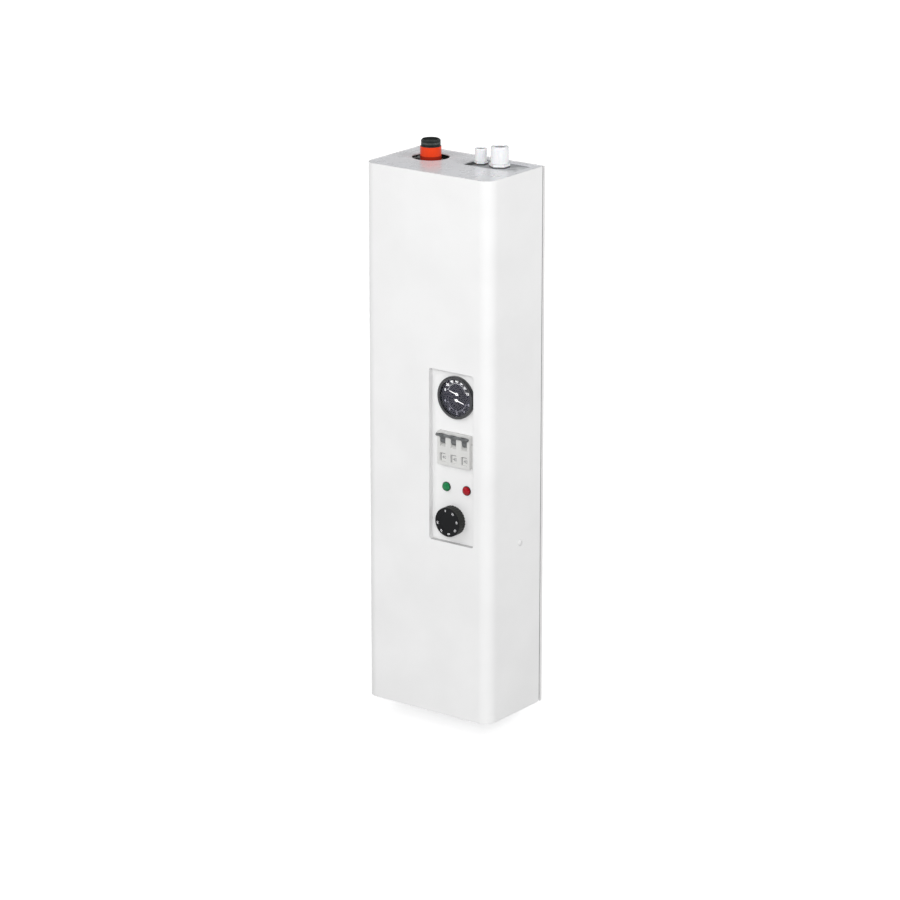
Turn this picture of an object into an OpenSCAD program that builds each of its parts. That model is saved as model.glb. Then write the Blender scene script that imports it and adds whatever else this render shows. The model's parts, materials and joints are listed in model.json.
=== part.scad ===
// Slim wall-hung electric system boiler. The wall is the plane y = 0, the front faces -Y, +Z is up.
// The origin is the centre of the back plate's wall side.

/* [Case] */
// Width of the case over the cover
case_w = 204; // [196:1:230]
// Height of the case
case_h = 740; // [730:1:860]
// Depth from the wall to the front face
case_d = 123; // [121:0.5:145]
// Sheet thickness of the front cover
cover_t = 1.2; // [0.8:0.1:1.6]
// Outer radius of the cover's upright front corners
cover_r = 17; // [10:0.5:20]
// Radius of the cover's lower rear corners
foot_r = 6; // [2:0.5:10]
// Sheet thickness of the chassis plates
chassis_t = 1.5; // [1:0.1:2]
// Depth of the chassis rim that shows behind the cover
rim_d = 4.2; // [3:0.1:6]
// Gap between the rim and the cover
rim_gap = 1.2; // [0.6:0.1:1.8]
// Height of the folded lips of the end plates
lip_h = 12; // [8:0.5:18]
// How far the end plates lie inside the cover's edges
end_inset = 0.5; // [0.3:0.1:2]
// Depth of the chassis side flanges that the cover slides over
flange_d = 18; // [12:1:28]

/* [Wall fixing] */
// Distance of the wall screw holes from the case's sides
wall_hole_side = 27; // [22:0.5:36]
// Distance of the wall screw holes from the case's ends
wall_hole_end = 40; // [32:0.5:60]
// Diameter of the wall screw holes
wall_hole_d = 7; // [5:0.5:9]

/* [Cover screws] */
// Height of the cover screws above the case's lower edge
cover_screw_z = 238; // [200:1:300]
// Distance of the cover screws from the wall
cover_screw_y = 51.6; // [45:0.1:55]
// Diameter of the cover screws' thread
cover_screw_d = 4; // [3:0.1:5]
// Diameter of the cover screws' heads
cover_head_d = 9; // [7:0.5:11]

/* [Control window] */
// Distance from the case's right side to the window
window_side = 25; // [23:0.5:28]
// Height of the window's lower edge above the case's lower edge
window_z = 244; // [220:1:260]
// Depth of the window's folded edge
recess_d = 7; // [4:0.5:9]
// Corner radius of the window
window_r = 3.5; // [2:0.1:5]
// Space in the window left of the gauge bezel
window_left = 11; // [9:0.5:14]
// Space in the window right of the gauge bezel
window_right = 3; // [2:0.5:6]
// Space in the window above the gauge bezel
window_top = 6; // [4:0.5:10]
// Thickness of the control panel
panel_t = 2; // [1.5:0.1:3]
// How far the control panel reaches behind the cover round the window
panel_lap = 4; // [3:0.5:6]

/* [Gauge] */
// Outer diameter of the gauge bezel
bezel_d = 58; // [55:0.5:60]
// Diameter of the gauge can behind the panel
gauge_d = 52; // [48:0.5:53]
// Depth of the gauge can behind the panel's face
gauge_depth = 30; // [24:1:36]
// Height of the bezel over the panel
bezel_h = 5; // [4:0.1:7]
// Distance of each pointer's pivot from the gauge's centre
pointer_offset = 4.2; // [3.5:0.1:5]
// Length of the pointers from pivot to tip
pointer_l = 12; // [10:0.5:15]
// Space between the gauge can and the breaker
gauge_gap = 2.8; // [2:0.1:6]

/* [Breaker] */
// Width of one breaker pole
pole_w = 17.5; // [17:0.1:18]
// Height of the breaker's raised front
nose_h = 45; // [43:0.5:47]
// Height of the breaker body
pole_h = 85; // [80:0.5:90]
// Depth from the rail to the breaker's front
breaker_depth = 61; // [58:0.5:64]
// How far the breaker stands over the panel
breaker_proud = 5.8; // [4:0.1:7]
// Radius from the lever pivot to the tie bar
lever_reach = 11.5; // [11:0.5:14]
// Angle of the levers above level when on
lever_up = 40; // [34:1:44]
// Space between the lamp nuts and the breaker body
breaker_gap = 3.9; // [2:0.1:6]
// How far the breaker's middle lies left of the gauge's
breaker_left = 1.4; // [0:0.1:2]

/* [Lamps] */
// Diameter of the lamp lenses
lens_d = 12; // [11.5:0.1:14]
// Diameter of the lamp holders' threaded necks
lamp_neck_d = 10; // [9:0.5:11]
// Distance between the lamps
lamp_pitch = 33; // [31:0.5:36]
// Space between the knob and the lamps
lamp_gap = 18; // [14:0.5:24]

/* [Thermostat] */
// Diameter of the thermostat knob
knob_d = 40; // [36:0.5:42]
// Height of the thermostat knob
knob_h = 14; // [11:0.5:18]
// Space between the window's lower edge and the knob
knob_gap = 10.6; // [8:0.2:14]
// How far the knob's axis lies left of the gauge's
knob_left = 5.7; // [0:0.1:7]
// Diameter of the thermostat shaft
shaft_d = 6; // [5:0.1:7]

/* [Water side] */
// Share of the case's width between its left side and the outlet pipe's axis
pipe_side_share = 0.25; // [0.245:0.005:0.26]
// Space between the case's left side and the tank
tank_side = 16; // [14:0.5:19]
// Space between the wall and the tank
tank_back = 9; // [7:0.5:12]
// Outer diameter of the pipes
pipe_d = 26.9; // [26.5:0.1:27.5]
// Outer diameter of the pipe threads, three-quarter inch
thread_d = 26.4; // [25.8:0.1:26.5]
// Wall of the pipes
pipe_wall = 3.2; // [2.5:0.1:4]
// How far the pipe ends stand out of the case
pipe_out = 23.5; // [21:0.5:32]
// Length of thread left bare by the sleeve
thread_l = 9.5; // [7:0.5:12]
// Thickness of the coloured sleeves
sleeve_t = 0.5; // [0.4:0.1:1]
// Diameter of the holes round the pipes
pipe_hole_d = 50; // [44:0.5:54]
// Wall of the tank
tank_t = 2; // [1.5:0.1:3]
// Height of the tank's lower end above the case's lower edge
tank_foot = 110; // [105:1:125]
// Space between the tank's upper end and the top plate
tank_head = 68; // [55:1:90]

/* [Heater] */
// Diameter of the heater plug's thread
plug_d = 47.8; // [46:0.1:50]
// Diameter of the heating elements
element_d = 8.5; // [7:0.1:9]
// Space between the heating elements and the sensor pocket
element_head = 100; // [60:5:140]

/* [Cable glands] */
// Distance from the case's right side to the large gland's axis
gland_side = 48; // [46:0.5:50]
// Distance from the wall to the glands' axes
gland_y = 35; // [34:0.5:38]
// Distance between the glands
gland_pitch = 30; // [29:0.5:32]
// Width of the cut-out under the glands
gland_slot_w = 82; // [80:0.5:86]
// Depth of the cut-out under the glands
gland_slot_d = 45; // [43:0.5:48]
// Thickness of the gland plate
gland_plate_t = 2; // [1.5:0.1:3]
// Thread diameter of the small gland
small_d = 12; // [11:0.5:13]
// Width across flats of the small gland
small_af = 16; // [15.5:0.5:17]
// Height of the small gland over its plate
small_h = 21.5; // [20:0.5:25]
// Cable hole of the small gland
small_cable_d = 6; // [4:0.1:6.5]
// Thread diameter of the large gland
large_d = 20; // [19:0.5:21]
// Width across flats of the large gland
large_af = 24; // [23.5:0.5:26]
// Height of the large gland over its plate
large_h = 28; // [26:0.5:32]
// Cable hole of the large gland
large_cable_d = 12; // [9:0.1:13]

/* [Electrics] */
// Width of the contactor
contactor_w = 45; // [43:0.5:47]
// Height of the contactor
contactor_h = 75; // [70:0.5:80]
// Depth of the contactor
contactor_d = 80; // [72:0.5:84]
// Space between the lower bracket and the contactor
contactor_gap = 18; // [14:0.5:40]
// Space between the case's right side and the contactor
contactor_side = 22; // [20:0.5:40]
// Pitch of the terminals
terminal_pitch = 10; // [8:0.1:11]
// Height of the terminal block
terminal_h = 30; // [25:0.5:36]
// Depth of the terminal block
terminal_d = 34; // [28:0.5:40]
// Distance from the top of the case down to the terminal block's middle
terminal_down = 66; // [56:1:100]
// Diameter of the capillary leads
lead_d = 2; // [1.5:0.1:2.4]

/* [Hidden] */
$fn = 72;

// Overrun of every cut past the face it leaves
overrun = 1;
// Clearance of pieces that slide together when the case is put together
fit_gap = 0.3;
// Clearance of a piece that is screwed or soldered into another
seat_gap = 0.1;
// Radial clearance of a pin or shaft that turns
run_gap = 0.05;

// Window and panel
window_w = window_left + bezel_d + window_right;
gauge_x = window_left + bezel_d / 2;
knob_x = gauge_x - knob_left;
breaker_x = gauge_x - breaker_left;
knob_z = knob_gap + knob_d / 2;
lens_rim_share = 0.54;
lamp_rim_r = lens_d * lens_rim_share;
lamp_nut_share = 1.25;
lamp_nut_af = lamp_neck_d * lamp_nut_share;
lamp_nut_r = lamp_nut_af / 2 / cos(30);
lamp_z = knob_z + knob_d / 2 + lamp_gap + lamp_rim_r;
breaker_z = lamp_z + lamp_nut_r + breaker_gap + pole_h / 2;
gauge_z = breaker_z + pole_h / 2 + gauge_gap + gauge_d / 2;
window_h = gauge_z + bezel_d / 2 + window_top;
window_x = case_w / 2 - window_side - window_w;
panel_y = case_d - recess_d - fit_gap;
panel_w = window_w + 2 * panel_lap;
panel_h = window_h + 2 * panel_lap;

// Cover and chassis
cover_back = rim_d + rim_gap;
inner_x = case_w / 2 - cover_t - fit_gap;
inner_y = case_d - cover_t - fit_gap;
inner_r = cover_r - cover_t - fit_gap;
top_z = case_h - end_inset;
flange_gap = 4;
tab_h = 40;
tab_margin = 10;
tab_r = 5;
cover_nut_af = 7;
cover_nut_h = 3;
head_share = 0.6;

// Water side
pipe_x = case_w * pipe_side_share - case_w / 2;
tank_r = case_w * pipe_side_share - tank_side;
tank_d = 2 * tank_r;
pipe_y = tank_back + tank_r;
tank_top = top_z - chassis_t - tank_head;
pipe_r = pipe_d / 2;
pipe_bore_r = pipe_r - pipe_wall;
thread_chamfer = 1.8;
sleeve_in = 14;
boss_h = 14;
boss_t = 5;
plug_r = plug_d / 2;
plug_head_h = 8;
plug_head_share = 1.14;
inlet_bend_share = 1.8;
inlet_bend = pipe_r * inlet_bend_share;
inlet_up = 30;
inlet_z = tank_foot + inlet_up;
inlet_run = 3;
inlet_x = pipe_x + tank_r + inlet_run + inlet_bend;
tank_round = 12;

// Wall screw holes
wall_pitch_x = case_w - 2 * wall_hole_side;
wall_pitch_z = case_h - 2 * wall_hole_end;

// Heater
hairpin_r = 8;
hairpin_at = 13;
element_tail = 14;
terminal_stud_r = 2;
terminal_stud_l = 10;
insulator_h = 5;

// Tank clamps
strap_t = 2;
strap_w = 20;
strap_foot = 9;
strap_inset = 130;
strap_up = 75;
clamp_screw_r = 1.9;
clamp_head_r = 3.5;
clamp_head_h = 2.4;

// Sensor pocket
pocket_r = 8;
pocket_bore_r = 6.6;
pocket_in = 40;
pocket_out = 14;
pocket_hex_af = 21;
pocket_hex_w = 6;
pocket_down = 60;
bulb_r = 2.6;
bulb_at = 3.4;
bulb_l = 44;
port_r = 6;
port_l = 5;
port_down = 35;
element_l = pocket_z() - pocket_r - element_head - hairpin_r - element_d / 2 - tank_foot;

// Panel brackets
bracket_t = 1.5;
bracket_foot = 20;
bracket_gap = 8.5;
bracket_x = run_x(2) + lead_d / 2 + bracket_gap;
bracket_w = window_x + window_w + panel_lap - bracket_x;
bracket_flange = 9;
stud_r = 2;
stud_l = 7;
stud_inset = 5;
stud_nut_af = 7;
stud_nut_h = 3.2;

// Breaker
lever_w_share = 0.48;
lever_w = pole_w * lever_w_share;
drum_r = 5.6;
drum_gap = 0.5;
pivot_in = 6;
pivot_r = 1.5;
lever_t = 2.6;
lever_tip = 0.8;
lever_gap = 0.25;
tie_h = 3.4;
tie_d = 2.6;
shoulder_d = 44;
pole_back = 4;
rail_h = 35;
rail_well = 25;
rail_d = 7.5;
rail_t = 1;
rail_over = 3;
standoff_af = 8;
entry_w = 7;
entry_h = 9;
entry_d = 12;
terminal_r = 3;
terminal_in = 12;
terminal_at_share = 0.78;
label_w = 10.5;
label_h = 11.5;
label_r = 1.5;
label_in = 2.4;
label_down = 12.3;
slot_margin = 0.6;
slot_top = 2.2;

// Gauge
bezel_lip = 3.4;
bezel_round = 1.6;
bezel_in = 0.8;
dial_t = 0.8;
dial_down = 1;
glass_t = 1.4;
glass_down = 1.2;
can_t = 0.8;
can_flange = 1;
spindle_r = 0.7;
spindle_l = 1.3;
pointer_up = 0.5;
pointer_t = 0.5;
pointer_hub_r = 1.9;
pointer_w = 1.3;
pointer_tail = 3;
temperature_rest = 165;
pressure_rest = 345;
stub_r = 5;
stub_l = 8;
clamp_bar_w = 12;
clamp_gap = 1;

// Lamps
lamp_rim_h = 1.2;
lens_h = 4.6;
lens_foot = 0.8;
lens_seat_share = 0.9;
lamp_l = 26;
lamp_nut_h = 3;
lamp_tab_w = 4.8;
lamp_tab_t = 0.8;
lamp_tab_l = 8;
lamp_tab_at = 3;

// Thermostat
thermostat_w = 34;
thermostat_d = 22;
thermostat_r = 3;
knob_floor = 0.6;
knob_face = 4;
flute_r = 0.9;
flute_count = 30;
flat_share = 0.76;
knob_round = 1.2;
dish_share = 0.62;
dish_in = 0.3;
neck_r = 4.5;

// Limiter
limiter_gap = 1.34;
limiter_y = 62;
limiter_w = 30;
limiter_x = inlet_x + pipe_r + limiter_gap + limiter_w / 2;
limiter_l = 24;
limiter_h = 26;
bushing_r = 4.75;
bushing_l = 8;
limiter_nut_af = 13;
limiter_nut_h = 3;
button_r = 2.4;
button_out = 3;
button_travel = 2;
button_collar_r = 3.4;
button_collar_h = 1.5;

// Glands
hex_share = 0.19;
hex_turn = 30;
nut_share = 0.5;
spigot_share = 0.86;
spigot_h_share = 0.62;
bore_share = 0.39;
seat_share = 0.5;
open_share = 0.7;
mouth_share = 0.79;
nut_round_share = 0.2;
shank_l = 9;
locknut_h = 4;
nut_ribs = 12;
rib_r = 0.7;
gland_x = case_w / 2 - gland_side;
small_x = gland_x - gland_pitch;
gland_z = top_z - chassis_t;
slot_side = 12;
slot_back = 11;
slot_r = 4;
gland_plate_lap = 5;

// Electrics
bend_share = 1.08;
contactor_x = case_w / 2 - contactor_side - contactor_w / 2;
contactor_z = window_z - panel_lap - bracket_foot - contactor_gap - contactor_h / 2;
carriage_w = 12;
carriage_h = 16;
carriage_l = 12;
carriage_gap = 0.4;
carriage_in = 3;
nose_share = 0.6;
step_share = 0.7;
terminal_row_share = 0.8;
terminal_count = 5;
terminal_x = window_x + gauge_x;
terminal_z = top_z - terminal_down;

// Frames

// From the case's lower edge to the part's origin
module in_case() { translate([0, 0, -case_h / 2]) children(); }

// On the control panel's face: x to the right and y up from the window's corner, z to the viewer
module on_panel(x, z) {
    in_case() translate([window_x + x, -panel_y, window_z + z]) rotate([90, 0, 0]) children();
}

// On the back plate's inner face: x to the right, y up, z to the viewer
module on_back(x, z) {
    in_case() translate([x, -chassis_t, z]) rotate([90, 0, 0]) children();
}

// On the axis of the tank and the outlet pipe
module on_pipe(z) { in_case() translate([pipe_x, -pipe_y, z]) children(); }

// Shared shapes

module round_rect(w, h, r) {
    square([w - 2 * r, h], center = true);
    square([w, h - 2 * r], center = true);
    for (x = [-1, 1], y = [-1, 1]) translate([x * (w / 2 - r), y * (h / 2 - r)]) circle(r);
}

module tube(r_out, r_in, h) {
    difference() {
        cylinder(h = h, r = r_out);
        translate([0, 0, -overrun]) cylinder(h = h + 2 * overrun, r = r_in);
    }
}

module hexagon(af, h) { cylinder(h = h, r = af / 2 / cos(30), $fn = 6); }

module hex_nut(af, h, r_in) {
    difference() {
        hexagon(af, h);
        translate([0, 0, -overrun]) cylinder(h = h + 2 * overrun, r = r_in);
    }
}

// The case seen from above, with round front corners and open at the back
module case_outline(half_w, front, back, r) {
    translate([-half_w, r - front]) square([2 * half_w, front - r - back]);
    translate([r - half_w, -front]) square([2 * (half_w - r), r]);
    for (s = [-1, 1]) translate([s * (half_w - r), r - front]) circle(r);
}

// One end plate with its folded lip, lip downwards
module end_plate() {
    difference() {
        translate([0, 0, -lip_h]) linear_extrude(lip_h)
            case_outline(inner_x, inner_y, chassis_t, inner_r);
        translate([0, 0, -lip_h - overrun]) linear_extrude(lip_h + overrun - chassis_t)
            case_outline(inner_x - chassis_t, inner_y - chassis_t, 2 * chassis_t, inner_r - chassis_t);
    }
}

// Case

module back_plate() {
    color("gainsboro") in_case() difference() {
        union() {
            translate([-case_w / 2, -chassis_t, 0]) cube([case_w, chassis_t, case_h]);
            for (s = [-1, 1]) {
                translate([s * (case_w / 2 - chassis_t / 2) - chassis_t / 2, -rim_d, 0])
                    cube([chassis_t, rim_d, case_h]);
                translate([s * (inner_x - chassis_t / 2) - chassis_t / 2, -flange_d, lip_h + flange_gap])
                    cube([chassis_t, flange_d, case_h - 2 * (lip_h + flange_gap)]);
                translate([s * (inner_x - chassis_t / 2), 0, cover_screw_z]) cover_tab();
            }
        }
        for (x = [-1, 1], z = [-1, 1])
            translate([x * wall_pitch_x / 2, overrun, case_h / 2 + z * wall_pitch_z / 2])
                rotate([90, 0, 0]) cylinder(h = chassis_t + 2 * overrun, d = wall_hole_d);
        translate([-case_w / 2, -cover_screw_y, cover_screw_z])
            rotate([0, 90, 0]) cylinder(h = case_w, r = cover_screw_d / 2 + seat_gap);
        for (z = clamp_heights(), s = [-1, 1])
            translate([pipe_x + s * clamp_screw_at(), overrun, z])
                rotate([90, 0, 0]) cylinder(h = chassis_t + 2 * overrun, r = clamp_screw_r + seat_gap);
    }
}

// The tab on each side flange that takes a cover screw
module cover_tab() {
    rotate([90, 0, 90]) translate([0, 0, -chassis_t / 2]) linear_extrude(chassis_t) union() {
        translate([-cover_screw_y - tab_margin + tab_r, -tab_h / 2])
            square([cover_screw_y + tab_margin - tab_r, tab_h]);
        translate([-cover_screw_y - tab_margin, tab_r - tab_h / 2]) square([tab_r, tab_h - 2 * tab_r]);
        for (s = [-1, 1]) translate([tab_r - cover_screw_y - tab_margin, s * (tab_h / 2 - tab_r)])
            circle(tab_r);
    }
}

module top_plate() {
    color("lightgray") in_case() difference() {
        translate([0, 0, top_z]) end_plate();
        translate([pipe_x, -pipe_y, top_z - chassis_t - overrun])
            cylinder(h = chassis_t + 2 * overrun, d = pipe_hole_d);
        translate([case_w / 2 - slot_side - gland_slot_w / 2, -slot_back - gland_slot_d / 2,
            top_z - chassis_t - overrun])
            linear_extrude(chassis_t + 2 * overrun) round_rect(gland_slot_w, gland_slot_d, slot_r);
    }
}

module bottom_plate() {
    color("lightgray") in_case() difference() {
        translate([0, 0, end_inset]) mirror([0, 0, 1]) end_plate();
        translate([inlet_x, -pipe_y, end_inset - overrun])
            cylinder(h = chassis_t + 2 * overrun, d = pipe_hole_d);
        translate([limiter_x, -limiter_y, end_inset - overrun])
            cylinder(h = chassis_t + 2 * overrun, r = bushing_r + seat_gap);
    }
}

module window_shape(grow, depth) {
    translate([window_x + window_w / 2, -case_d, window_z + window_h / 2]) rotate([90, 0, 0])
        translate([0, 0, -depth]) linear_extrude(depth)
            round_rect(window_w + 2 * grow, window_h + 2 * grow, window_r + grow);
}

module front_cover() {
    color("white") in_case() difference() {
        union() {
            difference() {
                linear_extrude(case_h) case_outline(case_w / 2, case_d, cover_back, cover_r);
                translate([0, 0, -overrun]) linear_extrude(case_h + 2 * overrun)
                    case_outline(case_w / 2 - cover_t, case_d - cover_t, cover_back - overrun,
                        cover_r - cover_t);
            }
            window_shape(cover_t, recess_d);
        }
        translate([0, -overrun, 0]) window_shape(0, recess_d + 2 * overrun);
        window_shape(0, recess_d + overrun);
        translate([-case_w / 2 - overrun, -cover_screw_y, cover_screw_z])
            rotate([0, 90, 0]) cylinder(h = case_w + 2 * overrun, r = cover_screw_d / 2 + fit_gap);
        foot_cut();
    }
}

// Takes the sharp lower rear corner off both sides of the cover
module foot_cut() {
    translate([-case_w / 2 - overrun, -cover_back - foot_r, foot_r]) difference() {
        translate([0, 0, -foot_r - overrun]) cube([case_w + 2 * overrun, foot_r + overrun, foot_r + overrun]);
        rotate([0, 90, 0]) translate([0, 0, -overrun]) cylinder(h = case_w + 4 * overrun, r = foot_r);
    }
}

module cover_nuts() {
    color("silver") in_case() for (s = [-1, 1])
        translate([s * (inner_x - chassis_t), -cover_screw_y, cover_screw_z]) rotate([0, -s * 90, 0])
            hex_nut(cover_nut_af, cover_nut_h, cover_screw_d / 2 + seat_gap);
}

module cover_screws() {
    color("whitesmoke") in_case() for (s = [-1, 1])
        translate([s * case_w / 2, -cover_screw_y, cover_screw_z]) rotate([0, -s * 90, 0]) {
            cylinder(h = cover_t + fit_gap + chassis_t + cover_nut_h, d = cover_screw_d);
            mirror([0, 0, 1]) intersection() {
                cylinder(h = cover_head_d / 3, d = cover_head_d);
                translate([0, 0, -cover_head_d / 3]) sphere(r = cover_head_d * head_share);
            }
        }
}

// Control panel

module control_panel() {
    color("white") {
        on_panel(window_w / 2, window_h / 2) translate([0, 0, -panel_t]) difference() {
            linear_extrude(panel_t) round_rect(panel_w, panel_h, window_r);
            panel_hole(gauge_x, gauge_z, gauge_d / 2 + fit_gap);
            panel_hole(knob_x, knob_z, neck_r + fit_gap);
            for (s = [-1, 1]) panel_hole(gauge_x + s * lamp_pitch / 2, lamp_z, lamp_neck_d / 2 + seat_gap);
            translate([breaker_x - window_w / 2, breaker_z - window_h / 2, -overrun])
                linear_extrude(panel_t + 2 * overrun)
                    round_rect(3 * pole_w + 2 * fit_gap, nose_h + 2 * fit_gap, fit_gap);
        }
        for (x = stud_places(), z = [stud_inset - panel_lap, window_h + panel_lap - stud_inset])
            on_panel(x, z) translate([0, 0, -panel_t - stud_l])
                cylinder(h = stud_l + panel_t / 2, r = stud_r);
    }
}

module panel_hole(x, z, r) {
    translate([x - window_w / 2, z - window_h / 2, -overrun]) cylinder(h = panel_t + 2 * overrun, r = r);
}

function stud_places() = [bracket_x - window_x + 2 * stud_inset, window_w + panel_lap - 2 * stud_inset];

// A folded bracket from the back plate to the rear of the panel; up is 1 or -1 for the foot's direction
module panel_bracket(up) {
    reach = panel_y - panel_t;
    difference() {
        union() {
            mirror([0, up < 0 ? 1 : 0, 0]) {
                translate([0, -bracket_t, 0]) cube([bracket_w, bracket_t, reach - chassis_t]);
                translate([0, -bracket_t, 0]) cube([bracket_w, bracket_foot + bracket_t, bracket_t]);
                translate([0, -bracket_flange, reach - chassis_t - bracket_t])
                    cube([bracket_w, bracket_flange, bracket_t]);
            }
        }
        for (x = stud_places())
            translate([x + window_x - bracket_x, -up * stud_inset, reach - chassis_t - bracket_t - overrun])
                cylinder(h = bracket_t + 2 * overrun, r = stud_r + seat_gap);
    }
}

module upper_panel_bracket() {
    color("silver") on_back(bracket_x, window_z + window_h + panel_lap) panel_bracket(1);
}

module lower_panel_bracket() {
    color("silver") on_back(bracket_x, window_z - panel_lap) panel_bracket(-1);
}

module panel_nuts() {
    color("silver") for (x = stud_places(), z = [stud_inset - panel_lap, window_h + panel_lap - stud_inset])
        on_panel(x, z) translate([0, 0, -panel_t - bracket_t - stud_nut_h])
            hex_nut(stud_nut_af, stud_nut_h, stud_r + seat_gap);
}

// Cable glands

module gland_plate() {
    color("darkgray") in_case() difference() {
        translate([case_w / 2 - slot_side - gland_slot_w / 2, -slot_back - gland_slot_d / 2,
            gland_z - gland_plate_t])
            linear_extrude(gland_plate_t)
                round_rect(gland_slot_w + 2 * gland_plate_lap, gland_slot_d + 2 * gland_plate_lap, slot_r);
        gland_hole(small_x, small_d / 2);
        gland_hole(gland_x, large_d / 2);
    }
}

module gland_hole(x, r) {
    translate([x, -gland_y, gland_z - gland_plate_t - overrun])
        cylinder(h = gland_plate_t + 2 * overrun, r = r + seat_gap);
}

module gland_body(d, af, h) {
    nut_r = af * nut_share;
    spigot_r = nut_r * spigot_share;
    difference() {
        union() {
            rotate([0, 0, hex_turn]) hexagon(af, h * hex_share);
            translate([0, 0, -shank_l]) cylinder(h = shank_l + overrun, r = d / 2);
            cylinder(h = h * spigot_h_share, r = spigot_r);
        }
        translate([0, 0, -shank_l - overrun]) cylinder(h = h + shank_l, r = d * bore_share);
        translate([0, 0, h * spigot_h_share * (1 - seat_share)])
            cylinder(h = h, r = (d * bore_share + spigot_r) / 2);
    }
}

module gland_seal(d, af, h, cable) {
    seat_r = (d * bore_share + af * nut_share * spigot_share) / 2;
    translate([0, 0, h * spigot_h_share * (1 - seat_share)])
        tube(seat_r - seat_gap, cable / 2, h - h * spigot_h_share * (1 - seat_share) - nut_lip(af));
}

function nut_lip(af) = af * nut_share * (1 - spigot_share);

module gland_nut(af, h) {
    nut_r = af * nut_share;
    lip = nut_lip(af);
    base = h * hex_share + fit_gap;
    round_r = nut_r * nut_round_share;
    difference() {
        translate([0, 0, base]) rotate_extrude() difference() {
            union() {
                square([nut_r, h - base - round_r]);
                square([nut_r - round_r, h - base]);
                translate([nut_r - round_r, h - base - round_r]) circle(round_r);
            }
            translate([-nut_r, -overrun]) square([nut_r, h + overrun]);
        }
        translate([0, 0, base - overrun]) cylinder(h = h - base - lip + overrun,
            r = nut_r * spigot_share + seat_gap);
        cylinder(h = h + overrun, r = nut_r * open_share);
        translate([0, 0, h - lip]) cylinder(h = 2 * lip, r1 = nut_r * open_share,
            r2 = nut_r * (2 * mouth_share - open_share));
        for (k = [0:nut_ribs - 1]) rotate([0, 0, k * 360 / nut_ribs])
            translate([nut_r + rib_r / 2, 0, base - overrun]) cylinder(h = h - base - round_r, r = rib_r);
    }
}

module at_gland(x) { in_case() translate([x, -gland_y, gland_z]) children(); }

module small_gland_body() { color("whitesmoke") at_gland(small_x) gland_body(small_d, small_af, small_h); }
module small_gland_seal() { color("dimgray") at_gland(small_x)
    gland_seal(small_d, small_af, small_h, small_cable_d); }
module small_gland_nut() { color("whitesmoke") at_gland(small_x) gland_nut(small_af, small_h); }
module small_gland_locknut() {
    color("whitesmoke") at_gland(small_x) translate([0, 0, -gland_plate_t - locknut_h])
        hex_nut(small_af, locknut_h, small_d / 2 + seat_gap);
}
module large_gland_body() { color("whitesmoke") at_gland(gland_x) gland_body(large_d, large_af, large_h); }
module large_gland_seal() { color("dimgray") at_gland(gland_x)
    gland_seal(large_d, large_af, large_h, large_cable_d); }
module large_gland_nut() { color("whitesmoke") at_gland(gland_x) gland_nut(large_af, large_h); }
module large_gland_locknut() {
    color("whitesmoke") at_gland(gland_x) translate([0, 0, -gland_plate_t - locknut_h])
        hex_nut(large_af, locknut_h, large_d / 2 + seat_gap);
}

// Water side

// Half outline of the tank's body, for turning about its axis
module tank_profile(r, z0, z1, round_r) {
    difference() {
        union() {
            translate([0, z0]) square([r, z1 - z0 - round_r]);
            translate([0, z0]) square([r - round_r, z1 - z0]);
            translate([r - round_r, z1 - round_r]) circle(round_r);
        }
        translate([-r, z0 - overrun]) square([r, z1 - z0 + 2 * overrun]);
    }
}

module tank_shell() {
    color("gray") on_pipe(0) difference() {
        union() {
            rotate_extrude() tank_profile(tank_r, tank_foot, tank_top, tank_round);
            translate([0, 0, tank_foot - boss_h]) cylinder(h = boss_h + tank_t / 2, r = plug_r + boss_t);
            translate([0, 0, pocket_z() - port_down]) rotate([0, 90, 0])
                cylinder(h = tank_r + port_l, r = port_r);
        }
        rotate_extrude() tank_profile(tank_r - tank_t, tank_foot + tank_t, tank_top - tank_t,
            tank_round - tank_t);
        translate([0, 0, tank_foot - boss_h - overrun]) cylinder(h = boss_h + tank_t + 2 * overrun,
            r = plug_r + seat_gap);
        translate([0, 0, tank_top - tank_t - overrun]) cylinder(h = tank_t + 2 * overrun,
            r = pipe_r + seat_gap);
        translate([0, 0, inlet_z]) rotate([0, 90, 0]) cylinder(h = tank_d, r = pipe_r + seat_gap);
        translate([0, 0, pocket_z()]) rotate([0, 90, 0]) cylinder(h = tank_d, r = pocket_r + seat_gap);
        translate([0, 0, pocket_z() - port_down]) rotate([0, 90, 0]) cylinder(h = tank_d, r = lead_d);
    }
}

function pocket_z() = tank_top - pocket_down;

module outlet_pipe() {
    color("dimgray") on_pipe(tank_top - tank_t) difference() {
        pipe_end(case_h + pipe_out - tank_top + tank_t);
        translate([0, 0, -overrun]) cylinder(h = case_h, r = pipe_bore_r);
    }
}

// A straight pipe with a chamfered thread end
module pipe_end(l) {
    cylinder(h = l - thread_l, r = pipe_r);
    cylinder(h = l - thread_chamfer, d = thread_d);
    translate([0, 0, l - thread_chamfer])
        cylinder(h = thread_chamfer, d1 = thread_d, d2 = thread_d - 2 * thread_chamfer);
}

module outlet_sleeve() {
    color("orangered") on_pipe(case_h + pipe_out - thread_l) mirror([0, 0, 1])
        tube(pipe_r + seat_gap + sleeve_t, pipe_r + seat_gap, pipe_out - thread_l + sleeve_in);
}

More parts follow.
